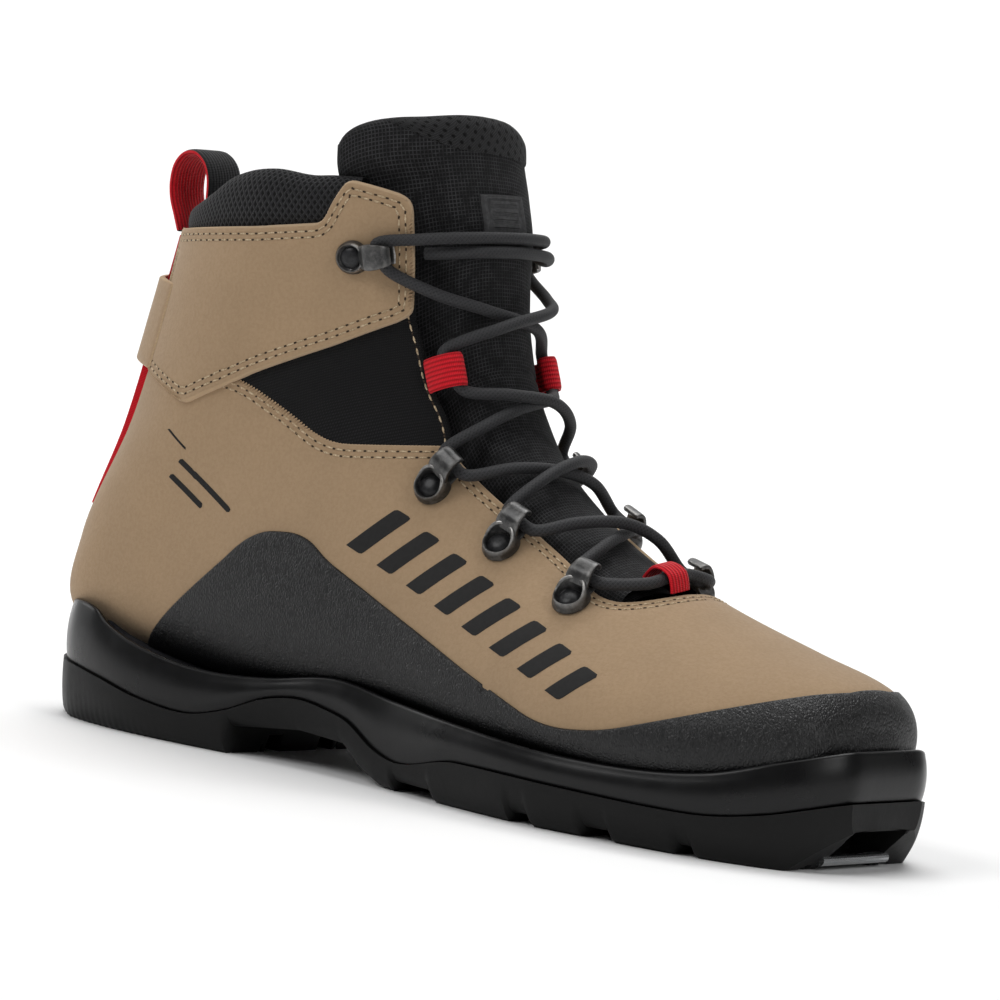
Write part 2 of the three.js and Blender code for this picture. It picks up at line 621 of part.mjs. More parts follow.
function makeLace() {
  const { u, v } = TOE_KEEPER;
  const start = laceHalf(-1, UNDER).reverse();
  const end = laceHalf(1, OVER);
  const way = [...start, [u, v - 0.06, 3], [u - 0.002, v, 2.8], [u, v + 0.06, 2.8],
    [u, v + 0.14, 3], ...end];
  const path = new THREE.CatmullRomCurve3(way.map((w) => above(...w)), false, 'centripetal');
  const section = new THREE.Shape();
  const sides = 6;
  for (let k = 0; k < sides; k += 1) {
    const turn = (2 * Math.PI * k) / sides;
    const [a, b] = [Math.cos(turn) * (LACE_DIAMETER / 2), Math.sin(turn) * (LACE_DIAMETER / 2)];
    if (k) section.lineTo(a, b); else section.moveTo(a, b);
  }
  section.closePath();
  return toSolid(new THREE.ExtrudeGeometry(section, { steps: 140, extrudePath: path }));
}

/**
 * Places a solid modelled with +x towards the throat's middle and +z out of the leather.
 * aim is how far, in u, the +x direction turns towards the toe for each step of v.
 */
function placeOnLast(solid, u, v, height, aim = 0) {
  const normal = lastNormal(u, v);
  const side = Math.sign(v);
  const step = 0.02;
  const inward = last(u - aim * step, v - side * step).sub(last(u, v)).normalize();
  const forward = normal.clone().cross(inward).normalize();
  const across = forward.clone().cross(normal).normalize();
  const frame = new THREE.Matrix4().makeBasis(across, forward, normal).setPosition(above(u, v, height));
  return toSolid(toGeometry(solid).applyMatrix4(frame));
}

function lathe(profile, segments) {
  const geometry = new THREE.LatheGeometry(profile.map(([r, z]) => new THREE.Vector2(r, z)), segments);
  geometry.rotateX(Math.PI / 2);
  return toSolid(geometry);
}

const HOOK = { cupRadius: 5.4, cupHeight: 3.4, postEnd: 5.5, reach: 11.1, armHalfWidth: 3.4, armLow: 5.2,
  armHigh: 6.5 };
const HOOK_SETBACK = 8.3;           // from the eye out to the rivet
const TOP_SETBACK = 10;
const TOP_AIM = 0.25;               // the top hooks point this much towards the toe
const HOOK_LIFT = 0.5;              // a flat base on curved leather touches only at its middle

/** The v that lies a distance further from the ridge than v does. */
function outwardBy(distance, u, v) {
  const step = 0.02;
  const perStep = last(u, v + step).distanceTo(last(u, v - step));
  return v + (Math.sign(v) * 2 * step * distance) / perStep;
}

/** Cast hook: a cup round the rivet and a bridge over the lace. */
function hookBody() {
  const { cupRadius, cupHeight, postEnd, reach, armHalfWidth, armLow, armHigh } = HOOK;
  const bore = RIVET_DIAMETER / 2 + GAP;
  const cup = lathe([[0, 0], [cupRadius, 0], [cupRadius, cupHeight - 0.8], [cupRadius - 0.6, cupHeight],
    [bore, cupHeight], [bore, 1], [0, 1]], 12);
  const arm = sidePrism([[cupRadius - 1, 0], [postEnd, 0], [postEnd, armLow], [reach, armLow],
    [reach, armLow - 2], [reach + 1, armLow - 2], [reach + 0.8, armHigh], [cupRadius - 0.8, armHigh],
    [cupRadius - 1, cupHeight]], -armHalfWidth, armHalfWidth);
  return cup.add(arm);
}

function rivetBody() {
  const radius = RIVET_DIAMETER / 2;
  return lathe([[0, 1 + GAP], [radius, 1 + GAP], [radius, 2.4], [radius - 1, 3], [1.6, 3.2], [0, 2.7]], 12);
}

/** Flat open hook at the top of the cuff. */
function topHookBody() {
  const plate = lathe([[0, 0], [5, 0], [5, 1.2], [0, 1.2]], 14);
  const arm = sidePrism([[3.5, 0], [5.2, 0], [5.4, 4.8], [12.6, 4.8], [13.1, 3], [14.3, 3.2], [13.6, 6.1], [4.2, 6.1],
    [3.5, 1.2]], -3.6, 3.6);
  return plate.add(arm);
}

function topRivetBody() {
  return lathe([[0, 1.2 + GAP], [3.2, 1.2 + GAP], [2.6, 2.4], [0, 2.8]], 12);
}

/** Webbing sewn down at one end and folded round the lace, which runs along y at the eye. */
function foldedLoop(width) {
  const outline = [[-9.5, 0], [-9.5, 1.3], [-3.5, 4.7], [-1.7, 6.3], [1.5, 6.3], [3.4, 4.7],
    [4, 2.6], [3.5, 0.6], [2.6, -0.2]];
  const eye = [];
  const eyeRadius = LACE_DIAMETER / 2 + 1;
  const sides = 12;
  for (let k = 0; k < sides; k += 1) {
    const turn = (2 * Math.PI * k) / sides;
    eye.push([Math.cos(turn) * eyeRadius, EYE_HEIGHT + Math.sin(turn) * eyeRadius]);
  }
  return sidePrism(outline, -width / 2, width / 2).subtract(sidePrism(eye));
}

/** Band that bridges over the lace across y, sewn down at both ends. */
function keeperBand(length, width) {
  const thickness = 1.2;
  const clear = EYE_HEIGHT + LACE_DIAMETER / 2;
  const [half, high] = [length / 2, clear + thickness];
  const outline = [[-half, 0], [-half + 2.5, high], [half - 2.5, high], [half, 0], [half - thickness, 0],
    [half - 3.2, clear], [-half + 3.2, clear], [-half + thickness, 0]];
  const shape = new THREE.Shape(outline.map(([y, z]) => new THREE.Vector2(y, z)));
  const geometry = new THREE.ExtrudeGeometry(shape, { depth: width, bevelEnabled: false });
  geometry.translate(0, 0, -width / 2);
  geometry.rotateX(Math.PI / 2);
  geometry.rotateZ(Math.PI / 2);
  return toSolid(geometry);
}

// ---- materials --------------------------------------------------------------------------------
const MATERIALS = {
  nubuck: { color: 0x937c61, roughness: 0.9, metalness: 0 },
  rubber: { color: 0x151516, roughness: 0.55, metalness: 0 },
  grainedRubber: { color: 0x232325, roughness: 0.6, metalness: 0 },
  softshell: { color: 0x141414, roughness: 0.95, metalness: 0 },
  knit: { color: 0x101010, roughness: 0.95, metalness: 0 },
  redWebbing: { color: 0xc81423, roughness: 0.8, metalness: 0 },
  blackWebbing: { color: 0x18181a, roughness: 0.8, metalness: 0 },
  gunmetal: { color: 0x3a3b3d, roughness: 0.4, metalness: 0.9 },
  steel: { color: 0xb8babc, roughness: 0.25, metalness: 1 },
  foam: { color: 0x2c2c30, roughness: 0.95, metalness: 0 },
  board: { color: 0x9a8d78, roughness: 0.9, metalness: 0 },
};

// ---- assembly ---------------------------------------------------------------------------------
const boot = new THREE.Group();
boot.position.set(-SOLE_LENGTH / 2, 0, 0);

function addPart(name, solid, material) {
  const mesh = new THREE.Mesh(toGeometry(solid), new THREE.MeshStandardMaterial(MATERIALS[material]));
  mesh.name = name;
  boot.add(mesh);
}

addPart('outsole', makeOutsole(), 'rubber');
addPart('midsole_shell', makeMidsole(), 'rubber');
addPart('heel_cushion', makeHeelCushion(), 'foam');
addPart('binding_insert', makeBindingInsert(), 'rubber');
addPart('binding_bar', barSolid(BAR_DIAMETER, BAR_HALF_LENGTH), 'steel');
addPart('insole_board', makeBoard(), 'board');
addPart('steel_shank', shankSolid(0, 0), 'steel');
addPart('footbed', makeFootbed(), 'foam');
addPart('lining', makeLining(), 'knit');
addPart('heel_counter', makeHeelCounter(), 'board');
addPart('leather_upper', makeLeatherUpper(), 'nubuck');
addPart('rubber_rand', makeRand(), 'grainedRubber');
addPart('ankle_panel_lateral', anklePanel(-1), 'softshell');
addPart('ankle_panel_medial', anklePanel(1), 'softshell');
addPart('cuff_panel_lateral', overlay(CUFF, -1), 'nubuck');
addPart('cuff_panel_medial', overlay(CUFF, 1), 'nubuck');
addPart('heel_strap', makeHeelStrap(), 'nubuck');
addPart('heel_tape', makeHeelTape(), 'redWebbing');
addPart('collar', makeCollar(), 'knit');
addPart('pull_loop', makePullLoop(), 'blackWebbing');
addPart('tongue_lower', makeTongueLower(), 'softshell');
addPart('tongue_upper', makeTongueUpper(), 'softshell');
addPart('tongue_label', makeTongueLabel(), 'rubber');
addPart('lace', makeLace(), 'blackWebbing');

for (const [side, name] of [[-1, 'lateral'], [1, 'medial']]) {
  HOOK_ROWS.forEach(({ u, v }, k) => {
    const rivetV = outwardBy(HOOK_SETBACK, u, side * v);
    addPart(`${HOOK_NAMES[k]}_hook_${name}`, placeOnLast(hookBody(), u, rivetV, HOOK_LIFT), 'gunmetal');
    addPart(`${HOOK_NAMES[k]}_rivet_${name}`, placeOnLast(rivetBody(), u, rivetV, HOOK_LIFT), 'gunmetal');
  });
  const topV = outwardBy(TOP_SETBACK, TOP_ROW.u, side * TOP_ROW.v);
  const topU = TOP_ROW.u + TOP_AIM * Math.abs(topV - side * TOP_ROW.v);
  const topHeight = 2 * GAP + LEATHER;
  addPart(`top_hook_${name}`, placeOnLast(topHookBody(), topU, topV, topHeight, TOP_AIM), 'gunmetal');
  addPart(`top_rivet_${name}`, placeOnLast(topRivetBody(), topU, topV, topHeight, TOP_AIM), 'gunmetal');
  const loop = placeOnLast(foldedLoop(WEBBING_WIDTH), LOOP_ROW.u, side * LOOP_ROW.v, GAP);
  addPart(`ankle_loop_${name}`, loop, 'redWebbing');
}
const keeper = placeOnLast(keeperBand(11, KEEPER_WIDTH), TOE_KEEPER.u, TOE_KEEPER.v, GAP);
addPart('toe_lace_keeper', keeper, 'redWebbing');

export default boot;
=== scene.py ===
"""Cross country touring boot, right foot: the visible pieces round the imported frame.

Shapes are worked out in millimetres from the heel, as the CAD source does (x to the toe, y
positive on the medial side, z up), and become metres in the row frame in make_mesh.
"""
import math

import bpy
import numpy as np
from mathutils import Matrix, Vector
from mathutils.geometry import delaunay_2d_cdt
from mathutils.kdtree import KDTree


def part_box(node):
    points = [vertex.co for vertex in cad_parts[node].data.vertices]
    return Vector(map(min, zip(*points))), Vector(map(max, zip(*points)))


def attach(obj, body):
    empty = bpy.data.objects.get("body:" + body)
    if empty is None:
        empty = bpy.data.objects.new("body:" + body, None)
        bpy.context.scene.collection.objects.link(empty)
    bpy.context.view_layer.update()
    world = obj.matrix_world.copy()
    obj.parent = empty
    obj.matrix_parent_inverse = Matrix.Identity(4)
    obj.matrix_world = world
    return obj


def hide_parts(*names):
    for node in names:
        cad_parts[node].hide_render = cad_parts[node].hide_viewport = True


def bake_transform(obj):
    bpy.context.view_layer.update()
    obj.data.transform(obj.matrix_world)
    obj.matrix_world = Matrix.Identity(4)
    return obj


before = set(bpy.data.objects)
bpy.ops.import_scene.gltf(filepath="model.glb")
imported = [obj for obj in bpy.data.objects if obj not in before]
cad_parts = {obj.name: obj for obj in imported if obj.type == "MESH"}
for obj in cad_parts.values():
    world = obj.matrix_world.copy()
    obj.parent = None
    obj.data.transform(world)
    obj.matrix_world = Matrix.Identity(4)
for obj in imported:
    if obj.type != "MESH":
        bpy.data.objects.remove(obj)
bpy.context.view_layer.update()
HEEL_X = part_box("outsole")[0][0]        # the heel's back in the row frame, in metres
SOLE_LENGTH = 1000 * (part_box("outsole")[1][0] - HEEL_X)

# ---- sizes shared with the CAD, in millimetres ------------------------------------------------
LEATHER = 1.6
GAP = 0.3
LACE_DIAMETER = 3.6
WEBBING_WIDTH = 10
PULL_LOOP_WIDTH = 15
EYE_HEIGHT = 2.8
NOSE_SLOT = {"half": 13, "from_x": 272, "top": 12.3}
GUIDE = {"inner": 8.5, "outer": 15.5, "depth": 5}    # the binding's guide grooves

# Sections of the last: u, the bottom or back point (x, z), the ridge point (x, z), both half
# widths, belly, roundness of the low and the high end, and the ridge's lean to the medial side.
STATIONS = np.array([
    (0.00, 292, 23, 294, 38, 14, 14, 0.45, 0.80, 0.80, 1),
    (0.04, 288, 21, 292, 46, 24, 24, 0.40, 0.85, 0.85, 2),
    (0.10, 279, 19, 284, 52, 32, 33, 0.36, 0.86, 0.86, 2),
    (0.20, 256, 18, 261, 58, 43, 41, 0.32, 0.85, 0.98, 2),
    (0.32, 224, 17.5, 229, 67, 48, 44, 0.30, 0.85, 1.05, 2),
    (0.44, 184, 19, 196, 79, 44.5, 41, 0.30, 0.85, 1.00, 3),
    (0.54, 134, 23.5, 168, 97, 38.5, 36, 0.33, 0.85, 0.90, 5),
    (0.62, 76, 20.5, 152.5, 115, 37.5, 34, 0.38, 0.85, 0.80, 7),
    (0.70, 8, 27, 145.5, 134, 36, 34, 0.42, 0.85, 0.74, 7),
    (0.77, 2, 50, 142.5, 148, 36, 34, 0.44, 0.92, 0.72, 7),
    (0.85, 12, 86, 140.5, 162, 36, 34, 0.48, 1.10, 0.72, 7),
    (0.93, 20, 122, 138, 174, 36.5, 34, 0.50, 1.15, 0.74, 5),
    (1.00, 27, 152, 136, 187, 36.5, 34, 0.50, 1.15, 0.80, 3),
    (1.08, 32, 174, 134.5, 206, 37, 35, 0.50, 1.10, 0.85, 2),
])
(LOW_X, LOW_Z, HIGH_X, HIGH_Z, LATERAL, MEDIAL, BELLY, ROUND_LOW, ROUND_HIGH, LEAN) = range(1, 11)
TOE_POLE = -0.04                        # u where the toe's dome closes

# Plan of the sole: x, half width on the lateral and on the medial side.
SOLE_PLAN = np.array([
    (0, 3, 3), (2, 12, 12), (8, 22, 22), (20, 32, 31), (45, 38, 37), (80, 37, 34), (110, 35, 31),
    (145, 38, 35), (180, 46, 45), (210, 50, 50), (240, 47, 48.5), (265, 42.5, 44), (281, 36, 38),
    (290, 29, 31.5), (296.5, 21.5, 24.5), (300, 15.5, 18),
])

# Side-view lines of the sole, as (x, z) points.
RIM_LINE = np.array([
    (0, 34), (18, 36), (28, 35), (36, 31), (52, 26.5), (75, 23.5), (98, 24.5), (125, 28.5), (150, 26),
    (180, 24), (215, 22), (245, 22), (268, 24.5), (285, 29.5), (300, 34.5),
])
PARTING_LINE = np.array([
    (0, 17.5), (20, 17), (36, 15), (54, 11.5), (72, 10), (86, 13), (100, 18.5), (113, 20.5), (126, 19),
    (134, 17), (146, 11), (158, 9), (183, 13.5), (264, 12.5), (283, 15), (300, 20.3),
])
TREAD_LINE = np.array([
    (0, 3), (8, 1), (18, 0), (86, 0), (88, 8.5), (112, 11), (130, 10), (138, 4), (146, 0.8), (153, 0),
    (288, 0), (300, 12),
])
SIDE_NOTCHES = [(163, 16), (208, 6), (234, 8), (262, 4)]   # x, width
NOTCH_HEIGHT = 3

# Panel outlines seen from the side, as (x, z) points.
SEAMS = (2.3, 4.1)                      # distances of the two rows of stitches from a cut edge
SEAM_DEPTH = 0.22                       # of the hollow that the thread pulls in
SEAM_WIDTH = 0.55
THROAT = [
    (225.5, 68.2), (222, 66), (216, 64.4), (209, 65.5), (196.5, 72), (178.5, 80.7), (161, 89.7),
    (150.6, 96.4), (147.5, 100), (143.5, 107.5), (136, 116.5), (129.7, 132), (128.3, 136), (126.3, 166.6),
    (125.4, 169),
]
QUARTER_TOP = [
    (-20, 112), (60, 112), (76.4, 110.6), (92.3, 103.8), (108.7, 95.7), (125.3, 97.5), (147.5, 100.3),
]
CUFF_TOP = [
    (35.6, 151), (77, 155.6), (100.8, 159.3), (104, 166.5), (108, 173), (116.5, 171.8), (123, 170.5),
    (125.4, 169),
]
CUFF = CUFF_TOP + [
    (126.3, 166.6), (128.3, 136), (125.2, 133.4), (106.8, 124), (81.8, 113.2), (55.4, 100), (30, 107.5),
]
RAND_TOP = [
    (36, 20), (77.4, 56), (85, 63.5), (92.4, 67.4), (104, 68.4), (110.6, 67), (118, 62.2), (145, 51.5),
    (181, 39), (209, 30), (219, 29.2), (234, 30.8), (254.4, 37.5), (269.6, 43), (285, 48.4),
    (288.7, 49.3), (296, 51),
]
STRAP_TOP = [(40, 134.5), (5, 136)]
STRAP_BOTTOM = [(34, 107.5), (5, 111)]
COLLAR_TOP = np.array([
    (20, 157.6), (33, 158.2), (41.8, 159.5), (47.4, 161.3), (54, 164.5), (61.5, 168.8), (69, 171.3),
    (76, 172.6), (82, 173), (93.5, 172.4), (102, 173.2), (111, 173.6),
])
COLLAR_FOOT = np.array([(20, 147), (36, 147.5), (79, 151.5), (102, 155), (106, 158), (112, 163)])
# Share of the way from the collar's foot to its top, and height over the last, out and down inside.
COLLAR_PROFILE = [
    (0.0, -1.6), (0.18, -0.9), (0.4, 0.35), (0.62, 0.75), (0.8, 0.2), (0.92, -1.0), (0.985, -2.4),
    (1.0, -3.6), (0.985, -4.8), (0.92, -6.2), (0.8, -7.4), (0.55, -8.0), (0.2, -7.6), (-0.3, -6.6),
]
PULL_LOOP = [
    (22.6, 149.5), (20.6, 154), (18.4, 159), (17.6, 164), (18.6, 169.5), (21.8, 173), (26, 173.6),
    (30, 171), (32.2, 166.5), (32.8, 157.5),
]


# ---- curves and the last ----------------------------------------------------------------------
def spline(xs, ys, x):
    """Smooth interpolation through the points (xs, ys), held at both ends."""
    x = np.clip(x, xs[0], xs[-1])
    i = np.clip(np.searchsorted(xs, x, side="right") - 1, 0, len(xs) - 2)
    places = np.arange(len(xs))
    before = np.maximum(places - 1, 0)
    after = np.minimum(places + 1, len(xs) - 1)
    slope = (ys[after] - ys[before]) / (xs[after] - xs[before])
    h = xs[i + 1] - xs[i]
    t = (x - xs[i]) / h
    start = (2 * t**3 - 3 * t**2 + 1) * ys[i] + (t**3 - 2 * t**2 + t) * h * slope[i]
    return start + (3 * t**2 - 2 * t**3) * ys[i + 1] + (t**3 - t**2) * h * slope[i + 1]


def smooth_step(edge0, edge1, x):
    t = np.clip((np.asarray(x, float) - edge0) / (edge1 - edge0), 0, 1)
    return t * t * (3 - 2 * t)


def size_at(column, u):
    """One column of STATIONS at u."""
    return spline(STATIONS[:, 0], STATIONS[:, column], u)


def last(u, v):
    """Points of the last: u from toe to cuff, v 0 on the ridge, -1 and 1 at the bottom or back."""
    u, v = np.broadcast_arrays(np.asarray(u, float), np.asarray(v, float))
    v = (v + 1) % 2 - 1
    turn = np.pi * (1 - np.abs(v))
    c = np.cos(turn)
    round_ = np.where(turn < np.pi / 2, size_at(ROUND_LOW, u), size_at(ROUND_HIGH, u))
    even = 0.5 - 0.5 * np.sign(c) * np.abs(c) ** round_
    share = np.maximum(even, 1e-9) ** (np.log(size_at(BELLY, u)) / math.log(0.5))
    width = np.where(v < 0, -size_at(LATERAL, u), size_at(MEDIAL, u)) * np.abs(np.sin(turn)) ** round_
    low = np.stack([size_at(LOW_X, u), size_at(LOW_Z, u)], -1)
    high = np.stack([size_at(HIGH_X, u), size_at(HIGH_Z, u)], -1)
    xz = low + (high - low) * share[..., None]
    points = np.stack([xz[..., 0], width + size_at(LEAN, u) * share, xz[..., 1]], -1)
    # beyond the first station the toe closes in a dome that carries on its slope
    t = np.clip(u / TOE_POLE, 0, 1)[..., None]
    middle = np.array([293, 0.6, 32])
    dome = middle + (points - middle) * (1 - t) ** 0.75 + (2 * t - t**2) * np.array([1.5, 0, 0])
    return np.where(t > 0, dome, points)


def last_normal(u, v):
    step = 0.004
    u = np.asarray(u, float)
    along_u = last(u + step, v) - last(u - step, v)
    around_v = last(u, np.asarray(v) + step) - last(u, np.asarray(v) - step)
    normal = np.cross(around_v, along_u)
    return normal / np.maximum(np.linalg.norm(normal, axis=-1, keepdims=True), 1e-9)


def above(u, v, height):
    """Points at a height over the last."""
    return last(u, v) + last_normal(u, v) * np.asarray(height, float)[..., None]


def rounded(points, radius):
    """Open side-view line with its corners rounded, as dense points."""
    points = [np.array(p, float) for p in points]
    line = [points[0]]
    for before, corner, after in zip(points, points[1:], points[2:]):
        back, on = before - corner, after - corner
        reach = min(radius, np.linalg.norm(back) / 2, np.linalg.norm(on) / 2)
        a = corner + back / np.linalg.norm(back) * reach
        b = corner + on / np.linalg.norm(on) * reach
        t = np.linspace(0, 1, 9)[:, None]
        line.extend((1 - t) ** 2 * a + 2 * t * (1 - t) * corner + t**2 * b)
    line.append(points[-1])
    return resample(np.array(line), 1.0)


def lengths_along(points):
    steps = np.linalg.norm(np.diff(points, axis=0), axis=1)
    return np.concatenate([[0], np.cumsum(steps)])


def resample(points, step):
    """The polyline's points at about equal distances."""
    run = lengths_along(points)
    count = max(int(round(run[-1] / step)), 2)
    at = np.linspace(0, run[-1], count + 1)
    return np.stack([np.interp(at, run, points[:, k]) for k in range(points.shape[1])], -1)


def to_uv(line, side):
    """(u, v) of side-view points on one side of the last: -1 lateral, 1 medial."""
    x, z = np.asarray(line, float).T
    low, high = np.zeros(len(x)), np.full(len(x), 1.08)

    def offside(u):
        across = (size_at(HIGH_X, u) - size_at(LOW_X, u)) * (z - size_at(LOW_Z, u))
        return across - (size_at(HIGH_Z, u) - size_at(LOW_Z, u)) * (x - size_at(LOW_X, u))

    for _ in range(40):
        middle = (low + high) / 2
        beyond = offside(middle) > 0
        low = np.where(beyond, middle, low)
        high = np.where(beyond, high, middle)
    u = (low + high) / 2
    run = np.stack([size_at(HIGH_X, u) - size_at(LOW_X, u), size_at(HIGH_Z, u) - size_at(LOW_Z, u)], -1)
    start = np.stack([size_at(LOW_X, u), size_at(LOW_Z, u)], -1)
    share = np.clip(np.sum((np.stack([x, z], -1) - start) * run, -1) / np.sum(run * run, -1), 0, 1)
    even = share ** (math.log(0.5) / np.log(size_at(BELLY, u)))
    signed = 1 - 2 * even
    round_ = np.where(signed > 0, size_at(ROUND_LOW, u), size_at(ROUND_HIGH, u))
    turn = np.arccos(np.clip(np.sign(signed) * np.abs(signed) ** (1 / round_), -1, 1))
    return np.stack([u, side * (1 - turn / np.pi)], -1)


# ---- meshes -----------------------------------------------------------------------------------
def to_row(points):
    """Millimetres from the heel to metres in the row frame."""
    return np.asarray(points, float) / 1000 + np.array([HEEL_X, 0, 0])


def make_mesh(name, points, faces, materials, uv=None, values=None, sharp=40, face_material=None):
    """A mesh object from points in mm. uv is one (s, t) in mm for each point."""
    mesh = bpy.data.meshes.new(name)
    mesh.from_pydata(to_row(points).tolist(), [], [list(map(int, f)) for f in faces])
    if uv is not None:
        corners = np.empty(len(mesh.loops), np.int32)
        mesh.loops.foreach_get("vertex_index", corners)
        layer = mesh.uv_layers.new(name="mm")
        layer.data.foreach_set("uv", np.asarray(uv, np.float32)[corners].ravel())
    for key, data in (values or {}).items():
        attribute = mesh.attributes.new(key, "FLOAT", "POINT")
        attribute.data.foreach_set("value", np.asarray(data, np.float32))
    mesh.polygons.foreach_set("use_smooth", np.ones(len(mesh.polygons), bool))
    mesh.set_sharp_from_angle(angle=math.radians(sharp))
    for material in materials:
        mesh.materials.append(material)
    if face_material is not None:
        mesh.polygons.foreach_set("material_index", np.asarray(face_material, np.int32))
    mesh.update()
    piece = bpy.data.objects.new(name, mesh)
    bpy.context.scene.collection.objects.link(piece)
    return piece


def grid_faces(rows, columns, wrap=False, first=0):
    r, c = np.meshgrid(np.arange(rows - 1), np.arange(columns if wrap else columns - 1), indexing="ij")
    a = first + r * columns + c
    b = first + r * columns + (c + 1) % columns
    return np.stack([a, b, b + columns, a + columns], -1).reshape(-1, 4)


def skin(name, rows, materials, uv, sharp, wrap=False, **more):
    """A mesh from rows of points. wrap joins the end of each row to its start."""
    faces = grid_faces(*rows.shape[:2], wrap)
    return make_mesh(name, rows.reshape(-1, 3), faces, materials, uv=uv, sharp=sharp, **more)


def grid_uv(along_row, along_column):
    return np.stack([np.tile(along_row, len(along_column)), np.repeat(along_column, len(along_row))], -1)


def inside_polygon(points, polygon):
    """Which points lie inside a polygon, both in a plane."""
    x, y = points[:, 0], points[:, 1]
    hit = np.zeros(len(points), bool)
    ax, ay = polygon[:, 0], polygon[:, 1]
    bx, by = np.roll(ax, -1), np.roll(ay, -1)
    for x0, y0, x1, y1 in zip(ax, ay, bx, by):
        if y0 != y1:
            crosses = (y0 > y) != (y1 > y)
            hit ^= crosses & (x < (x1 - x0) * (y - y0) / (y1 - y0) + x0)
    return hit


def nearest(tree, points):
    """Distance from each point to the tree's nearest point."""
    return np.array([tree.find(p)[2] for p in points])


def tree_of(points):
    tree = KDTree(len(points))
    for k, p in enumerate(points):
        tree.insert(p, k)
    tree.balance()
    return tree


UV_SCALE = np.array([300.0, 110.0])     # makes u and v about equal to millimetres
WEAVE_SCALE = np.array([120, 300])      # v and u to the weave's millimetres round and along the boot


class Outline:
    """A closed region of the last. pieces are (uv points, True where it is a cut edge)."""

    def __init__(self, pieces, step=1.1):
        self.uv, self.real, self.parts = [], [], []
        for uv, real in pieces:
            line = self.even(np.asarray(uv, float), step)
            self.parts.append(line)
            self.uv.append(line[:-1])
            self.real.append(np.full(len(line) - 1, real))
        self.uv = np.concatenate(self.uv)
        self.real = np.concatenate(self.real)
        x, y = self.uv.T
        self.turn = np.sign(np.sum(x * np.roll(y, -1) - np.roll(x, -1) * y))
        self.tree = tree_of(last(*self.uv[self.real].T)) if self.real.any() else None

    @staticmethod
    def even(uv, step):
        """The line's points about step millimetres apart on the last."""
        fine = resample(uv * UV_SCALE, 0.5) / UV_SCALE
        run = lengths_along(last(*fine.T))
        count = max(int(round(run[-1] / step)), 1)
        at = np.linspace(0, run[-1], count + 1)
        return np.stack([np.interp(at, run, fine[:, k]) for k in (0, 1)], -1)

    def distance(self, uv):
        if self.tree is None:
            return np.full(len(uv), 1e3)
        return nearest(self.tree, last(*uv.T))

    def inward(self, line, distance):
        """The line moved into the region, where the move stays clear of every edge."""
        points = last(*line.T)
        tangent = np.gradient(points, axis=0)
        inward = np.cross(last_normal(*line.T), tangent) * -self.turn
        inward /= np.maximum(np.linalg.norm(inward, axis=1, keepdims=True), 1e-9)
        step = 1e-3
        du = (last(line[:, 0] + step, line[:, 1]) - points) / step
        dv = (last(line[:, 0], line[:, 1] + step) - points) / step
        moves = [np.linalg.lstsq(np.stack(j, -1), w, rcond=None)[0] for j, w in zip(zip(du, dv), inward)]
        moved = line + np.array(moves) * distance
        return moved[self.distance(moved) > 0.96 * distance]

    def fill(self, rings, spacing):
        """(uv points, triangles) of the region, with rings of points beside its cut edges."""
        extra = []
        for distance in rings:
            for line, real in zip(self.parts, self.split_real()):
                if real:
                    extra.append(self.inward(line, distance))
        low, high = self.uv.min(0) * UV_SCALE, self.uv.max(0) * UV_SCALE
        columns = np.arange(low[0], high[0], spacing)
        rows = np.arange(low[1], high[1], spacing * 0.87)
        gx, gy = np.meshgrid(columns, rows)
        gx = gx + spacing / 2 * (np.arange(len(rows)) % 2)[:, None]
        inner = np.stack([gx.ravel(), gy.ravel()], -1)
        polygon = self.uv * UV_SCALE
        inner = inner[inside_polygon(inner, polygon)] / UV_SCALE
        near = tree_of(np.c_[polygon, np.zeros(len(polygon))])
        clear = nearest(near, np.c_[inner * UV_SCALE, np.zeros(len(inner))]) > 0.4 * spacing
        inner = inner[clear & (self.distance(inner) > max(rings, default=0) + 0.5 * spacing)]
        extra = [e[inside_polygon(e * UV_SCALE, polygon)] for e in extra if len(e)]
        points = np.concatenate([self.uv, *extra, inner]) * UV_SCALE
        count = len(self.uv)
        made = delaunay_2d_cdt([Vector(p) for p in points], [], [list(range(count))], 1, 1e-5)
        return np.array([tuple(p) for p in made[0]]) / UV_SCALE, made[2]

    def split_real(self):
        flags, start = [], 0
        for line in self.parts:
            flags.append(bool(self.real[start]))
            start += len(line) - 1
        return flags


def height_of(value, uv):
    """Heights at uv points from one number or from a function of u and v."""
    return value(uv[:, 0], uv[:, 1]) if callable(value) else np.full(len(uv), float(value))


def panel(name, outline, top, base, material, edge=0.9, seams=(), spacing=2.0, under=False):
    """A layer on the last with rounded cut edges. seams are distances of stitched hollows.

    top and base are heights over the last, as numbers or as functions of u and v.
    """
    rings = [0.08 * edge, 0.28 * edge, 0.55 * edge, edge]
    for seam in seams:
        rings += [seam - 0.7, seam, seam + 0.7]
    uv, faces = outline.fill(sorted(r for r in rings if r > 0), spacing)
    distance = outline.distance(uv)
    rise = np.sqrt(1 - (1 - np.clip(distance / edge, 0, 1)) ** 2)
    low, high = height_of(base, uv), height_of(top, uv)
    height = low + (high - low) * rise
    for seam in seams:
        height -= SEAM_DEPTH * np.exp(-((distance - seam) / SEAM_WIDTH) ** 2)
    points = above(uv[:, 0], uv[:, 1], height)
    faces = [list(f) for f in faces]
    if under:
        count = len(points)
        points = np.concatenate([points, above(uv[:, 0], uv[:, 1], low)])
        faces = faces + [[i + count for i in f[::-1]] for f in faces]
        uv = np.concatenate([uv, uv])
        distance = np.concatenate([distance, distance])
    return make_mesh(name, points, faces, [M[material]], uv=uv[:, ::-1] * WEAVE_SCALE, sharp=50,
                     values={"edge": np.minimum(distance, 20)})


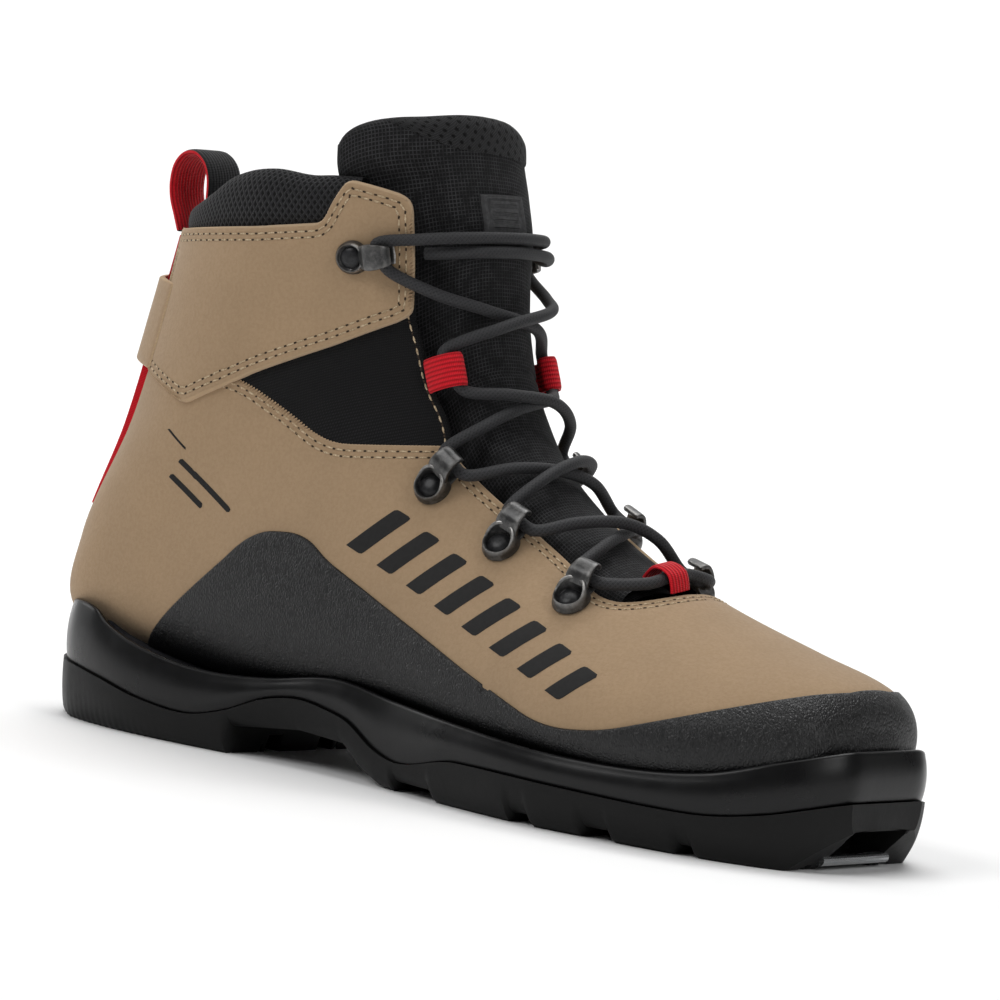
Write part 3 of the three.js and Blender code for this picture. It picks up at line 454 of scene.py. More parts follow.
def unit(vectors):
    return vectors / np.linalg.norm(vectors, axis=-1, keepdims=True)


def tangents(points):
    return unit(np.gradient(points, axis=0))


def cross_frames(points):
    """Side and normal at each point of a path, turning as little as they can."""
    tangent = tangents(points)
    side = unit(np.cross(tangent[0], (0, 0, 1)))
    sides = []
    for t in tangent:
        side = unit(side - t * np.dot(side, t))
        sides.append(side)
    sides = np.array(sides)
    return sides, np.cross(sides, tangent)


def catmull(points, count):
    """Centripetal curve through the points, at equal distances along it."""
    p = np.array(points, float)
    p = np.concatenate([[2 * p[0] - p[1]], p, [2 * p[-1] - p[-2]]])
    out = []
    for p0, p1, p2, p3 in zip(p, p[1:], p[2:], p[3:]):
        t1 = np.linalg.norm(p1 - p0) ** 0.5
        t2 = t1 + np.linalg.norm(p2 - p1) ** 0.5
        t3 = t2 + np.linalg.norm(p3 - p2) ** 0.5
        t = np.linspace(t1, t2, 24, endpoint=False)[:, None]
        a1 = p0 + (p1 - p0) * t / t1
        a2 = p1 + (p2 - p1) * (t - t1) / (t2 - t1)
        a3 = p2 + (p3 - p2) * (t - t2) / (t3 - t2)
        b1 = a1 + (a2 - a1) * t / t2
        b2 = a2 + (a3 - a2) * (t - t1) / (t3 - t1)
        out.append(b1 + (b2 - b1) * (t - t1) / (t2 - t1))
    line = np.concatenate([*out, p[-2:-1]])
    run = lengths_along(line)
    at = np.linspace(0, run[-1], count)
    return np.stack([np.interp(at, run, line[:, k]) for k in range(3)], -1)


# ---- stitches ---------------------------------------------------------------------------------
STITCH = {"pitch": 3.6, "start": 0.45, "length": 2.7, "radius": 0.27, "crown": 0.34, "sunk": 0.16}
# HOLE sizes the dark discs that are painted at the stitch ends as shade in the needle holes
HOLE = {"along": 0.36, "across": 0.3, "beyond": 0.3, "lift": 0.17}
stitches = []                           # (both ends, outward direction at both ends) of each


def stitch_row(outline, part, distance, height):
    """A row of stitches inside one stretch of an outline's edge, at a height over the last."""
    line = outline.inward(outline.parts[part], distance)
    if len(line) < 4:
        return
    points = above(*line.T, height - 0.12)
    normal = last_normal(*line.T)
    jumps = np.linalg.norm(np.diff(points, axis=0), axis=1)
    for run in np.split(np.arange(len(line)), np.where(jumps > 4)[0] + 1):
        if len(run) > 3:
            stitch_line(points[run], normal[run])


def stitch_line(points, normal):
    run = lengths_along(points)
    for k in range(int(run[-1] / STITCH["pitch"])):
        at = STITCH["pitch"] * k + STITCH["start"] + np.array([0, STITCH["length"]])
        stitches.append([np.stack([np.interp(at, run, line[:, i]) for i in range(3)], -1)
                         for line in (points, normal)])


def make_stitches():
    """Twisted thread capsules, and dark discs at their ends as painted shade of the needle holes."""
    rings, sides = 9, 8
    ends = np.array([s[0] for s in stitches])
    out = unit(np.array([s[1] for s in stitches]).mean(1))
    t = np.linspace(0, 1, rings)
    bow = 1 - (2 * t - 1) ** 2
    centre = ends[:, None, 0] + (ends[:, None, 1] - ends[:, None, 0]) * t[None, :, None]
    centre = centre + out[:, None] * (STITCH["crown"] * bow - STITCH["sunk"])[None, :, None]
    along = unit(ends[:, 1] - ends[:, 0])
    side = np.cross(along, out)
    turn = np.arange(sides) * 2 * np.pi / sides
    swell = STITCH["radius"] * np.sqrt(np.clip(1 - np.abs(2 * t - 1) ** 5, 0.02, 1))
    lobes = 1 + 0.18 * np.cos(2 * (turn[None] - 5.5 * t[:, None]))
    radius = swell[:, None] * lobes
    points = (centre[:, :, None] + side[:, None, None] * (np.cos(turn) * radius)[None, ..., None]
              + out[:, None, None] * (np.sin(turn) * radius)[None, ..., None])
    faces = np.concatenate([grid_faces(rings, sides, True, k * rings * sides) for k in range(len(ends))])
    threads = make_mesh("light_stitches", points.reshape(-1, 3), faces, [M["thread"]], sharp=180)
    # flat dark discs just over the leather at both ends of each stitch: painted shade of the needle holes
    holes = []
    ring = np.stack([np.cos(turn), np.sin(turn)], -1)
    for end, beyond in ((0, -HOLE["beyond"]), (1, HOLE["beyond"])):
        middle = ends[:, end] + along * beyond + out * HOLE["lift"]
        holes.append(middle[:, None] + along[:, None] * ring[None, :, :1] * HOLE["along"]
                     + side[:, None] * ring[None, :, 1:] * HOLE["across"])
    holes = np.concatenate(holes)
    hole_faces = np.arange(len(holes) * sides).reshape(-1, sides)
    dots = make_mesh("light_stitches_hole_shade", holes.reshape(-1, 3), hole_faces, [M["hole"]], sharp=180)
    for piece in (threads, dots):
        finish_piece(piece, "boot", "nubuck")


# ---- materials --------------------------------------------------------------------------------
def linear(red, green, blue):
    """sRGB 0..255 to the linear colour that the shader takes."""
    def one(c):
        c /= 255
        return c / 12.92 if c <= 0.04045 else ((c + 0.055) / 1.055) ** 2.4
    return (one(red), one(green), one(blue), 1)


class Surface:
    """A Principled material and short ways to add procedural nodes to it."""

    def __init__(self, name, roughness, metallic=0.0, **sockets):
        self.material = bpy.data.materials.new(name)
        self.material.use_nodes = True
        self.tree = self.material.node_tree
        self.shader = self.tree.nodes["Principled BSDF"]
        self.set("Roughness", roughness)
        self.set("Metallic", metallic)
        for key, value in sockets.items():
            self.set(key.replace("_", " "), value)

    def set(self, socket, value):
        self.shader.inputs[socket].default_value = value

    def node(self, kind, settings=None, **links):
        """A node with its settings. links go to inputs by name, or by number as i0, i1 and so on."""
        node = self.tree.nodes.new(kind)
        for key, value in (settings or {}).items():
            setattr(node, key, value)
        for key, value in links.items():
            socket = node.inputs[int(key[1:])] if key[0] == "i" and key[1:].isdigit() else node.inputs[key]
            if isinstance(value, bpy.types.NodeSocket):
                self.tree.links.new(value, socket)
            else:
                socket.default_value = value
        return node

    def place(self, source="Object", scale=(1, 1, 1), turn=0.0):
        """Coordinates: Object is in metres, UV in millimetres."""
        coordinates = self.node("ShaderNodeTexCoord")
        mapping = self.node("ShaderNodeMapping", Vector=coordinates.outputs[source], Scale=scale,
                            Rotation=(0, 0, turn))
        return mapping.outputs["Vector"]

    def noise(self, scale, detail, rough, stretch=(1, 1, 1)):
        return self.node("ShaderNodeTexNoise", Vector=self.place("Object", stretch), Scale=scale,
                         Detail=detail, Roughness=rough).outputs[0]

    def math(self, operation, a, b, c=0.0):
        return self.node("ShaderNodeMath", {"operation": operation}, i0=a, i1=b, i2=c).outputs[0]

    def ramp(self, value, low, high, out_low=0.0, out_high=1.0):
        """Smooth step of a value from low..high to out_low..out_high."""
        return self.node("ShaderNodeMapRange", {"interpolation_type": "SMOOTHSTEP"},
                         i0=value, i1=low, i2=high, i3=out_low, i4=out_high).outputs[0]

    def mix(self, share, a, b):
        return self.node("ShaderNodeMix", {"data_type": "RGBA"}, i0=share, i6=a, i7=b).outputs[2]

    def colour(self, socket):
        self.tree.links.new(socket, self.shader.inputs["Base Color"])

    def roughness(self, value, low, high):
        self.tree.links.new(self.ramp(value, 0, 1, low, high), self.shader.inputs["Roughness"])

    def bump(self, *layers):
        """layers are (height socket, depth in mm), the finest last."""
        normal = None
        for height, depth in layers:
            node = self.node("ShaderNodeBump", Height=height, Distance=depth / 1000, Strength=1.0)
            if normal:
                self.tree.links.new(normal, node.inputs["Normal"])
            normal = node.outputs["Normal"]
        self.tree.links.new(normal, self.shader.inputs["Normal"])

    def attribute(self, name):
        return self.node("ShaderNodeAttribute", {"attribute_name": name}).outputs["Fac"]

    def across(self, pitch, turn=0, axis=0):
        """0..1..0 ridges of a weave, pitch mm apart, on one axis of the uv map turned by degrees."""
        parts = self.node("ShaderNodeSeparateXYZ", Vector=self.place("UV", (1, 1, 1), math.radians(turn)))
        phase = self.math("MULTIPLY", parts.outputs[axis], 2 * math.pi / pitch)
        return self.math("MULTIPLY_ADD", self.math("COSINE", phase, 0), 0.5, 0.5)


def nubuck():
    """Brushed leather: soft clouds, a short nap and a paler cut edge."""
    s = Surface("nubuck", 0.85, Sheen_Weight=0.12, Sheen_Roughness=0.5, Specular_IOR_Level=0.25)
    base = linear(150, 126, 98)
    dark, light = ([c * shade for c in base[:3]] + [1] for shade in (0.82, 1.14))
    clouds = s.ramp(s.noise(38, 4, 0.55), 0.3, 0.7)
    grain = s.ramp(s.noise(900, 3, 0.6), 0.3, 0.7)
    body = s.mix(s.math("MULTIPLY", clouds, 0.55), light, base)
    body = s.mix(s.math("MULTIPLY", grain, 0.3), body, dark)
    cut = s.ramp(s.attribute("edge"), 0.25, 0.9, 0.75, 0.0)
    s.colour(s.mix(cut, body, linear(190, 164, 132)))
    s.roughness(grain, 0.78, 0.93)
    s.bump((s.noise(55, 3, 0.5), 0.5), (grain, 0.05), (s.noise(3200, 2, 0.6), 0.03))
    return s.material


def rubber(name, specular, haze_scale, dark, light, gloss, pores, fine):
    """Moulded rubber. gloss is its range of roughness; pores and fine are a scale and a depth in mm."""
    s = Surface(name, gloss[0], Specular_IOR_Level=specular)
    haze = s.noise(haze_scale, 4, 0.6)
    s.colour(s.mix(s.ramp(haze, 0.35, 0.75, 0.0, 0.6), dark, light))
    s.roughness(haze, *gloss)
    s.bump((s.noise(pores[0], 3, 0.5), pores[1]), (s.noise(fine[0], 2, 0.5), fine[1]))
    return s.material


def grained_rubber():
    """Rubber with a pebbled leather grain."""
    s = Surface("grained_rubber", 0.45, Specular_IOR_Level=0.4)
    wrinkles = s.node("ShaderNodeTexVoronoi", {"feature": "DISTANCE_TO_EDGE"},
                      Vector=s.place("Object", (1.7, 1.7, 0.8)), Scale=760.0).outputs["Distance"]
    pebble = s.ramp(wrinkles, 0.0, 0.35)
    fine = s.noise(1400, 3, 0.6)
    s.colour(s.mix(pebble, linear(9, 9, 10), linear(20, 20, 21)))
    s.roughness(fine, 0.34, 0.52)
    s.bump((pebble, 0.16), (fine, 0.07))
    return s.material


def softshell():
    """Plain weave on the bias."""
    s = Surface("softshell", 0.88, Sheen_Weight=0.04, Specular_IOR_Level=0.18)
    warp = s.across(0.55, 35)
    weft = s.across(0.75, 35, axis=1)
    cloth = s.math("MULTIPLY", warp, weft)
    s.colour(s.mix(cloth, linear(11, 11, 12), linear(25, 25, 26)))
    s.roughness(cloth, 0.9, 0.75)
    s.bump((s.noise(120, 3, 0.5), 0.3), (cloth, 0.09))
    return s.material


def ripstop():
    """Fine weave with a paler grid that comes and goes."""
    s = Surface("ripstop", 0.82, Sheen_Weight=0.03, Specular_IOR_Level=0.2)
    fine = s.math("MULTIPLY", s.across(0.42), s.across(0.42, axis=1))
    across = s.ramp(s.across(1.1), 0.72, 1.0)
    along = s.ramp(s.across(1.1, axis=1), 0.72, 1.0)
    grid = s.math("MAXIMUM", across, along)
    broken = s.math("MULTIPLY", grid, s.ramp(s.noise(260, 3, 0.7), 0.35, 0.62, 0.25, 1.0))
    body = s.mix(fine, linear(10, 10, 11), linear(22, 22, 23))
    s.colour(s.mix(s.math("MULTIPLY", broken, 0.5), body, linear(74, 74, 76)))
    s.bump((s.noise(90, 3, 0.5), 0.35), (grid, 0.08), (fine, 0.06))
    return s.material


def diamond_mesh(name, pitch, depth):
    """Knit with diamond cells, pitch mm apart and depth mm deep, whose hollows are coloured near black as
    painted shade.
    """
    s = Surface(name, 0.78, Sheen_Weight=0.04, Specular_IOR_Level=0.22)
    left = s.across(pitch, 52)
    right = s.across(pitch, -52)
    rib = s.math("MAXIMUM", left, right)
    cell = s.ramp(rib, 0.45, 0.95)
    fine = s.noise(4200, 2, 0.6)
    # painted shade: the cells' hollows take the near black colour, the ribs the paler one
    s.colour(s.mix(cell, linear(4, 4, 5), linear(28, 28, 30)))
    s.roughness(cell, 0.9, 0.65)
    s.bump((cell, depth), (fine, 0.05))
    return s.material


def air_mesh():
    """Thick knit with rows of pits, coloured near black as painted shade in them."""
    s = Surface("air_mesh", 0.82, Sheen_Weight=0.05, Specular_IOR_Level=0.2)
    hole = s.math("MULTIPLY", s.across(3.0, 20), s.across(2.6, -62))
    pit = s.ramp(hole, 0.42, 0.72)
    knit = s.math("MULTIPLY", s.across(0.7, 45), s.across(0.55, 45, axis=1))
    body = s.mix(knit, linear(28, 28, 29), linear(58, 58, 59))
    # painted shade: the pits take a near black colour
    s.colour(s.mix(pit, body, linear(3, 3, 3)))
    s.bump((s.math("SUBTRACT", 1.0, pit), 0.6), (knit, 0.12))
    return s.material


def webbing(name, dark, light):
    """Narrow woven band with ribs along it."""
    s = Surface(name, 0.74, Sheen_Weight=0.05, Specular_IOR_Level=0.25)
    ribs = s.across(1.3)
    weave = s.across(0.5, axis=1)
    cloth = s.math("MULTIPLY", s.math("POWER", ribs, 0.5), s.math("MULTIPLY_ADD", weave, 0.45, 0.55))
    s.colour(s.mix(cloth, dark, light))
    s.roughness(cloth, 0.85, 0.6)
    s.bump((ribs, 0.22), (weave, 0.1))
    return s.material


def lace_cord():
    """Fine strands over the braid that the mesh carries, with painted highlights on its crests and painted
    shade in its grooves.
    """
    s = Surface("lace_cord", 0.62, Sheen_Weight=0.04, Specular_IOR_Level=0.3)
    strands = s.across(0.42, 40, axis=1)
    # painted highlight and painted shade: the braid's crests take the pale colour, its grooves the near
    # black one
    s.colour(s.mix(s.math("MULTIPLY", s.attribute("braid"), s.ramp(strands, 0.1, 0.9, 0.6, 1.0)),
                   linear(3, 3, 4), linear(58, 58, 60)))
    s.bump((strands, 0.06))
    return s.material


def thread():
    s = Surface("light_thread", 0.65, Specular_IOR_Level=0.4)
    s.colour(s.mix(s.ramp(s.noise(1800, 2, 0.5), 0.3, 0.7), linear(150, 128, 98), linear(200, 180, 150)))
    s.bump((s.noise(5000, 2, 0.5), 0.04))
    return s.material


def gunmetal():
    """Dark plating, rubbed bright where the mesh says that it is worn."""
    s = Surface("gunmetal", 0.4, 0.85, Specular_IOR_Level=0.5)
    patch = s.ramp(s.noise(420, 4, 0.65), 0.4, 0.72)
    worn = s.math("MULTIPLY", s.attribute("worn"), s.ramp(s.noise(900, 3, 0.6), 0.3, 0.6, 0.5, 1.0))
    body = s.mix(patch, linear(62, 62, 62), linear(96, 95, 94))
    s.colour(s.mix(worn, body, linear(172, 170, 167)))
    s.roughness(patch, 0.34, 0.52)
    s.bump((s.noise(600, 3, 0.5), 0.08), (s.noise(3000, 2, 0.5), 0.02))
    return s.material


def bright_steel():
    """Steel brushed along y."""
    s = Surface("bright_steel", 0.25, 1.0)
    brushed = s.noise(900, 3, 0.5, stretch=(1, 0.05, 1))
    s.colour(s.mix(brushed, linear(176, 178, 180), linear(222, 224, 226)))
    s.roughness(brushed, 0.18, 0.34)
    s.bump((brushed, 0.004))
    return s.material


def matte(name, dark, light, roughness=0.9, scale=700, depth=0.05):
    """Even material with a fine grain. scale is the grain's, depth is in mm."""
    s = Surface(name, roughness, Specular_IOR_Level=0.3)
    grain = s.noise(scale, 3, 0.6)
    s.colour(s.mix(s.ramp(grain, 0.3, 0.7), dark, light))
    s.roughness(grain, roughness - 0.08, min(roughness + 0.08, 1))
    s.bump((grain, depth))
    return s.material


M = {
    "nubuck": nubuck(),
    "sole": rubber("sole_rubber", 0.28, 60, linear(7, 7, 8), linear(15, 15, 16), (0.2, 0.42),
                   (300, 0.04), (2500, 0.012)),
    "tread": rubber("tread_rubber", 0.2, 80, linear(9, 9, 9), linear(18, 18, 18), (0.4, 0.62),
                    (500, 0.06), (3000, 0.02)),
    "rand": grained_rubber(),
    "softshell": softshell(),
    "ripstop": ripstop(),
    "collar": diamond_mesh("diamond_mesh", 1.35, 0.35),
    "lining": diamond_mesh("lining_knit", 1.1, 0.2),
    "air": air_mesh(),
    "red": webbing("red_webbing", linear(140, 2, 14), linear(228, 10, 34)),
    "black": webbing("black_webbing", linear(8, 8, 9), linear(30, 30, 32)),
    "lace": lace_cord(),
    "thread": thread(),
    # dark brown of the needle-hole discs: painted shade
    "hole": matte("needle_hole_shade", linear(44, 34, 26), linear(58, 46, 36)),
    "gunmetal": gunmetal(),
    "rivet": matte("rivet_black", linear(20, 20, 21), linear(38, 38, 40), 0.35, 900, 0.02),
    "steel": bright_steel(),
    "print": matte("printed_ink", linear(20, 19, 19), linear(30, 29, 29), 0.75),
    "label": matte("label_rubber", linear(48, 48, 49), linear(72, 72, 73), 0.5),
    "foam": matte("foam", linear(34, 34, 38), linear(52, 52, 57), 0.95),
    "board": matte("fibre_board", linear(140, 128, 108), linear(170, 158, 136), 0.92),
}


def finish_piece(piece, body, slot, *nodes):
    """Rides the piece on its body and stands it for its CAD nodes. slot is not used."""
    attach(piece, body)
    if nodes:
        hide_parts(*nodes)
    return piece


# ---- sole -------------------------------------------------------------------------------------
FLAT_SHARE = 0.88                       # of the half width, from where the sole's side wall rises
LUG = {"pitch": 8.5, "slant": 0.55, "from": 0.5, "to": 1.9, "height": 2.2, "inner": 17.2}
RIB = {"pitch": 6.0, "from": 0.4, "to": 1.4, "height": 1.4, "half": 6.6}
TOOTH = {"pitch": 2.8, "height": 0.9}   # along the heel's edge
LIP = {"width": 2.2, "drop": 1.2}       # the midsole's standing lip
PLAN_BLUR = 3.5                         # points of the plan's ring


def line_at(line, x):
    return spline(*line.T, x)


def plan_at(x, side):
    return spline(SOLE_PLAN[:, 0], SOLE_PLAN[:, 1 if side < 0 else 2], x)


def sole_xs():
    """Section places: dense at both ends and where the tread steps."""
    ends = np.array([0, 0.12, 0.35, 0.7, 1.1, 1.6, 2.2, 2.9, 3.7, 4.6, 5.6, 6.8])
    middle = np.arange(7.5, SOLE_LENGTH - 7.5, 0.7)
    steps = np.array([85.9, 86.1, 88.1, 265.9, 266.1, 271.9, 272.1])
    return np.unique(np.round(np.concatenate([ends, middle, steps, SOLE_LENGTH - ends]), 3))


def tread_height(x, y):
    """Height of the tread's underside at (x, y)."""
    z = np.interp(x, TREAD_LINE[:, 0], TREAD_LINE[:, 1]) + 0 * y
    edge = np.where(y < 0, plan_at(x, -1), plan_at(x, 1)) * 0.92 - np.abs(y)
    on_ground = smooth_step(1.5, 0.2, z) * smooth_step(296, 286, x)
    phase = (x + LUG["slant"] * np.abs(y)) % LUG["pitch"]
    cut = smooth_step(0, LUG["from"], phase) * smooth_step(LUG["to"] + 0.5, LUG["to"], phase)
    cut = cut * smooth_step(LUG["inner"] - 0.6, LUG["inner"], np.abs(y)) * smooth_step(3, 5, edge)
    phase = x % RIB["pitch"]
    rib = smooth_step(0, RIB["from"], phase) * smooth_step(RIB["to"] + 0.4, RIB["to"], phase)
    rib = rib * smooth_step(RIB["half"] + 0.6, RIB["half"], np.abs(y)) * smooth_step(270, 268, x)
    z = z + on_ground * (LUG["height"] * cut + RIB["height"] * rib)
    teeth = (x % TOOTH["pitch"]) / TOOTH["pitch"]
    serrated = np.abs(teeth - 0.5) * 2 * smooth_step(5, 2.5, edge + 2.5) * smooth_step(70, 40, x)
    z = z + TOOTH["height"] * serrated * on_ground
    guide = smooth_step(GUIDE["inner"], GUIDE["inner"] + 0.4, np.abs(y))
    guide = guide * smooth_step(GUIDE["outer"], GUIDE["outer"] - 0.4, np.abs(y))
    runs = smooth_step(139.5, 140, x) * smooth_step(266, 265.5, x) + smooth_step(89, 88.5, x)
    z = np.maximum(z, GUIDE["depth"] * guide * np.clip(runs, 0, 1))
    for centre, width in SIDE_NOTCHES:
        notch = smooth_step(width / 2 + 1.6, width / 2 - 0.4, np.abs(x - centre - 0.12 * (edge - 3)))
        depth = NOTCH_HEIGHT * notch * smooth_step(12.5, 10, edge)
        z = np.maximum(z, np.minimum(depth, line_at(PARTING_LINE, x) - 2.5))
    slot = (np.abs(y) < NOSE_SLOT["half"]) & (x > NOSE_SLOT["from_x"])
    return np.where(slot, NOSE_SLOT["top"], z)


def half_columns():
    """Places over the half width: the walls of the guides and of the slot fall on them."""
    inner, outer, slot, wall = GUIDE["inner"], GUIDE["outer"], NOSE_SLOT["half"], 0.05
    return np.concatenate([
        np.linspace(0, inner, 9), np.linspace(inner + 0.4, slot - wall, 6),
        np.linspace(slot + wall, outer - 0.4, 4), np.linspace(outer, LUG["inner"], 4),
    ])


def make_outsole():
    inner = half_columns()
    outer = np.linspace(0, 1, 26)[1:]
    wall = np.linspace(0, 1, 9)[1:]
    rows = []
    for x in sole_xs():
        halves = []
        for side in (-1, 1):
            wide = plan_at(x, side)
            flat = wide * FLAT_SHARE
            fixed = np.minimum(inner, flat * inner / inner[-1])
            ys = np.concatenate([fixed, fixed[-1] + (flat - fixed[-1]) * outer])
            z = tread_height(np.full(len(ys), x), side * ys)
            parting = line_at(PARTING_LINE, x) - 0.15
            foot = min(z[-1], parting - 3)
            wall_y = wide * (FLAT_SHARE + (1 - FLAT_SHARE) * np.sin(wall * np.pi / 2) ** 0.8)
            wall_z = foot + (parting - foot) * wall**1.25
            halves.append((np.concatenate([ys, wall_y, [wide * 0.985, wide * 0.7, 0]]),
                           np.concatenate([z, wall_z, [parting, parting, parting]])))
        (left_y, left_z), (right_y, right_z) = halves
        y = np.concatenate([-left_y[::-1], right_y[1:-1]])
        z = np.concatenate([left_z[::-1], right_z[1:-1]])
        rows.append(np.stack([np.full(len(y), x), y, z], -1))
    return loft("outsole_tread", rows, [M["tread"]], sharp=25)


def loft(name, rows, materials, sharp=40):
    """Closed skin through rings of equal point count, with a fan at each end."""
    rows = np.array(rows)
    count, columns = rows.shape[:2]
    points = rows.reshape(-1, 3)
    faces = list(grid_faces(count, columns, True))
    for ring, flip in ((0, False), (count - 1, True)):
        centre = len(points)
        points = np.concatenate([points, rows[ring].mean(0)[None]])
        for k in range(columns):
            a, b = ring * columns + k, ring * columns + (k + 1) % columns
            faces.append([centre, a, b] if flip else [centre, b, a])
    return make_mesh(name, points, faces, materials, uv=points[:, [1, 0]], sharp=sharp)


def plan_ring():
    """Points round the sole's plan, blurred at its corners, and their inward directions in x and y."""
    xs = np.linspace(0, SOLE_LENGTH, 900)
    lateral = np.stack([xs, -plan_at(xs, -1)], -1)
    medial = np.stack([xs, plan_at(xs, 1)], -1)[::-1]
    ring = resample(np.concatenate([lateral, medial, lateral[:1]]), 0.8)[:-1]
    reach = range(-12, 13)
    spread = np.exp(-0.5 * (np.array(reach) / PLAN_BLUR) ** 2)
    spread /= spread.sum()
    ring = sum(w * np.roll(ring, k, axis=0) for k, w in zip(reach, spread))
    ahead = np.roll(ring, -1, axis=0) - np.roll(ring, 1, axis=0)
    return ring, unit(np.stack([-ahead[:, 1], ahead[:, 0]], -1))


def make_midsole():
    """Side wall with a thin standing lip, swept round the plan, and the deck inside it."""
    ring, inward = plan_ring()
    x = ring[:, 0]
    low = line_at(PARTING_LINE, x) + 0.15
    high = line_at(RIM_LINE, x)
    deck = high - 5.8 + 3.8 * smooth_step(255, 285, x)
    shoulder = high - LIP["drop"]
    profile = [(1.4, low)]
    for t in np.linspace(0, 1, 10):
        profile.append((0.9 - 0.9 * np.sin(np.pi * t) ** 0.8 + 0.35 * t, low + (shoulder - low) * t))
    for turn in np.linspace(0, np.pi, 9)[1:]:
        inset = 1.25 + LIP["width"] / 2 * (1 - np.cos(turn))
        profile.append((inset, shoulder + LIP["drop"] * np.sin(turn)))
    profile.append((1.35 + LIP["width"], deck))
    axis = np.stack([np.clip(x, 14, SOLE_LENGTH - 14), 0 * x], -1)

    def towards_axis(place, shares):
        """Rings that close the shell, from a place of the profile to the sole's middle line."""
        inset, z = place
        edge = ring + inward * inset
        return [np.column_stack([edge + (axis - edge) * share, z]) for share in shares]

    wall = [np.column_stack([ring + inward * inset, z]) for inset, z in profile]
    rows = np.array(towards_axis(profile[0], (1.0, 0.5)) + wall + towards_axis(profile[-1], (0.5, 1.0)))
    return skin("midsole_shell_skin", rows, [M["sole"]], rows.reshape(-1, 3)[:, [1, 0]], 50, wrap=True)


finish_piece(make_outsole(), "boot", "rubber", "outsole")
finish_piece(make_midsole(), "boot", "rubber", "midsole_shell")


# ---- upper ------------------------------------------------------------------------------------
def side_uv(points, side, radius):
    """(u, v) of a side-view line with its corners rounded."""
    return to_uv(rounded(points, radius), side)


def upper_outline():
    """The whole leather quarter: both sides, the toe and the open throat."""
    throat = {s: side_uv(THROAT[:9], s, 6) for s in (-1, 1)}
    top = {s: side_uv(QUARTER_TOP, s, 8) for s in (-1, 1)}
    for s in (-1, 1):
        inside = np.abs(top[s][:, 1]) < 0.999
        top[s] = top[s][np.argmax(inside):]
    back_u = top[-1][0, 0]
    return Outline([
        (throat[-1], True),                                   # ridge to the quarter's front corner
        (top[-1][::-1], True),                                # along the quarter's top to the back
        ([top[-1][0], (back_u, -1.0)], False),
        ([(back_u, -1.0), (0.62, -1.0)], False),
        ([(0.62, -1.0), (0.62, -0.98), (TOE_POLE, -0.98)], False),
        ([(TOE_POLE, -0.98), (TOE_POLE, 0.98)], False),
        ([(TOE_POLE, 0.98), (0.62, 0.98), (0.62, 1.0)], False),
        ([(0.62, 1.0), (back_u, 1.0)], False),
        ([(back_u, 1.0), top[1][0]], False),
        (top[1], True),
        (throat[1][::-1], True),
    ])


def make_leather():
    outline = upper_outline()
    piece = panel("leather_quarter", outline, 0.0, -LEATHER, "nubuck", edge=0.9, seams=SEAMS)
    finish_piece(piece, "boot", "nubuck", "leather_upper")
    for part in (0, 1, 9, 10):
        for distance in SEAMS:
            stitch_row(outline, part, distance, -0.1)


def make_rand():
    top = {s: side_uv(RAND_TOP, s, 8) for s in (-1, 1)}
    for s in (-1, 1):
        across = np.abs(top[s][:, 1])
        top[s] = top[s][(across > 0.004) & (across < 0.995)]
    start = {s: (top[s][0, 0], s * 0.99) for s in (-1, 1)}
    ridge = (top[-1][-1, 0], 0.0)
    outline = Outline([
        (np.concatenate([[start[-1]], top[-1], [ridge]]), True),
        (np.concatenate([[ridge], top[1][::-1], [start[1]]]), True),
        ([start[1], (TOE_POLE, 0.99)], False),
        ([(TOE_POLE, 0.99), (TOE_POLE, -0.99)], False),
        ([(TOE_POLE, -0.99), start[-1]], False),
    ])
    piece = panel("grained_rand", outline, 0.85, -0.3, "rand", edge=0.6, spacing=1.8)
    finish_piece(piece, "boot", "grained_rubber", "rubber_rand")


def side_panel(side, name):
    """Softshell that covers the shaft's side under the cuff and behind the throat."""
    front = side_uv(THROAT[8:], side, 6)
    low = side_uv([(x, z - 4) for x, z in QUARTER_TOP], side, 8)
    low = low[np.abs(low[:, 1]) < 0.999]
    high = side_uv([(-20, 147)] + [(x, z - 2.5) for x, z in CUFF_TOP], side, 4)
    high = high[np.abs(high[:, 1]) < 0.999]
    low = low[: max(len(low) - 2, 2)]
    outline = Outline([
        (front, True),
        (np.concatenate([[front[-1]], high[::-1]]), False),
        ([high[0], (high[0, 0], side)], False),
        ([(high[0, 0], side), (low[0, 0], side)], False),
        ([(low[0, 0], side), low[0]], False),
        (np.concatenate([low, [front[0]]]), False),
    ])
    piece = panel("ankle_softshell_" + name, outline, -0.5, -2.0, "softshell", edge=1.4)
    finish_piece(piece, "boot", "softshell", "ankle_panel_" + name)
    stitch_row(outline, 0, 1.9, -0.55)


def cuff_panel(side, name):
    outline = Outline([(side_uv(CUFF + [CUFF[0]], side, 2.6), True)])
    piece = panel("cuff_leather_" + name, outline, GAP + LEATHER, -0.3, "nubuck", edge=0.9,
                  seams=SEAMS, spacing=1.9)
    finish_piece(piece, "boot", "nubuck", "cuff_panel_" + name)
    for distance in SEAMS:
        stitch_row(outline, 0, distance, GAP + LEATHER - 0.1)


def round_back(line):
    """Side-view line from the lateral side, round the back, to the medial side, in one v run."""
    half = side_uv(line, 1, 0.5)
    half = half[np.abs(half[:, 1]) < 0.999]
    lateral = np.stack([half[:, 0], 2 - half[:, 1]], -1)
    return np.concatenate([lateral, [(half[-1, 0], 1.0)], half[::-1]])


def strap_lift(u, v):
    """Height of the strap's underside, which rises over the heel tape."""
    return GAP + 2.8 * smooth_step(0.7, 0.88, 1 - np.abs(1 - v)) + 0 * u


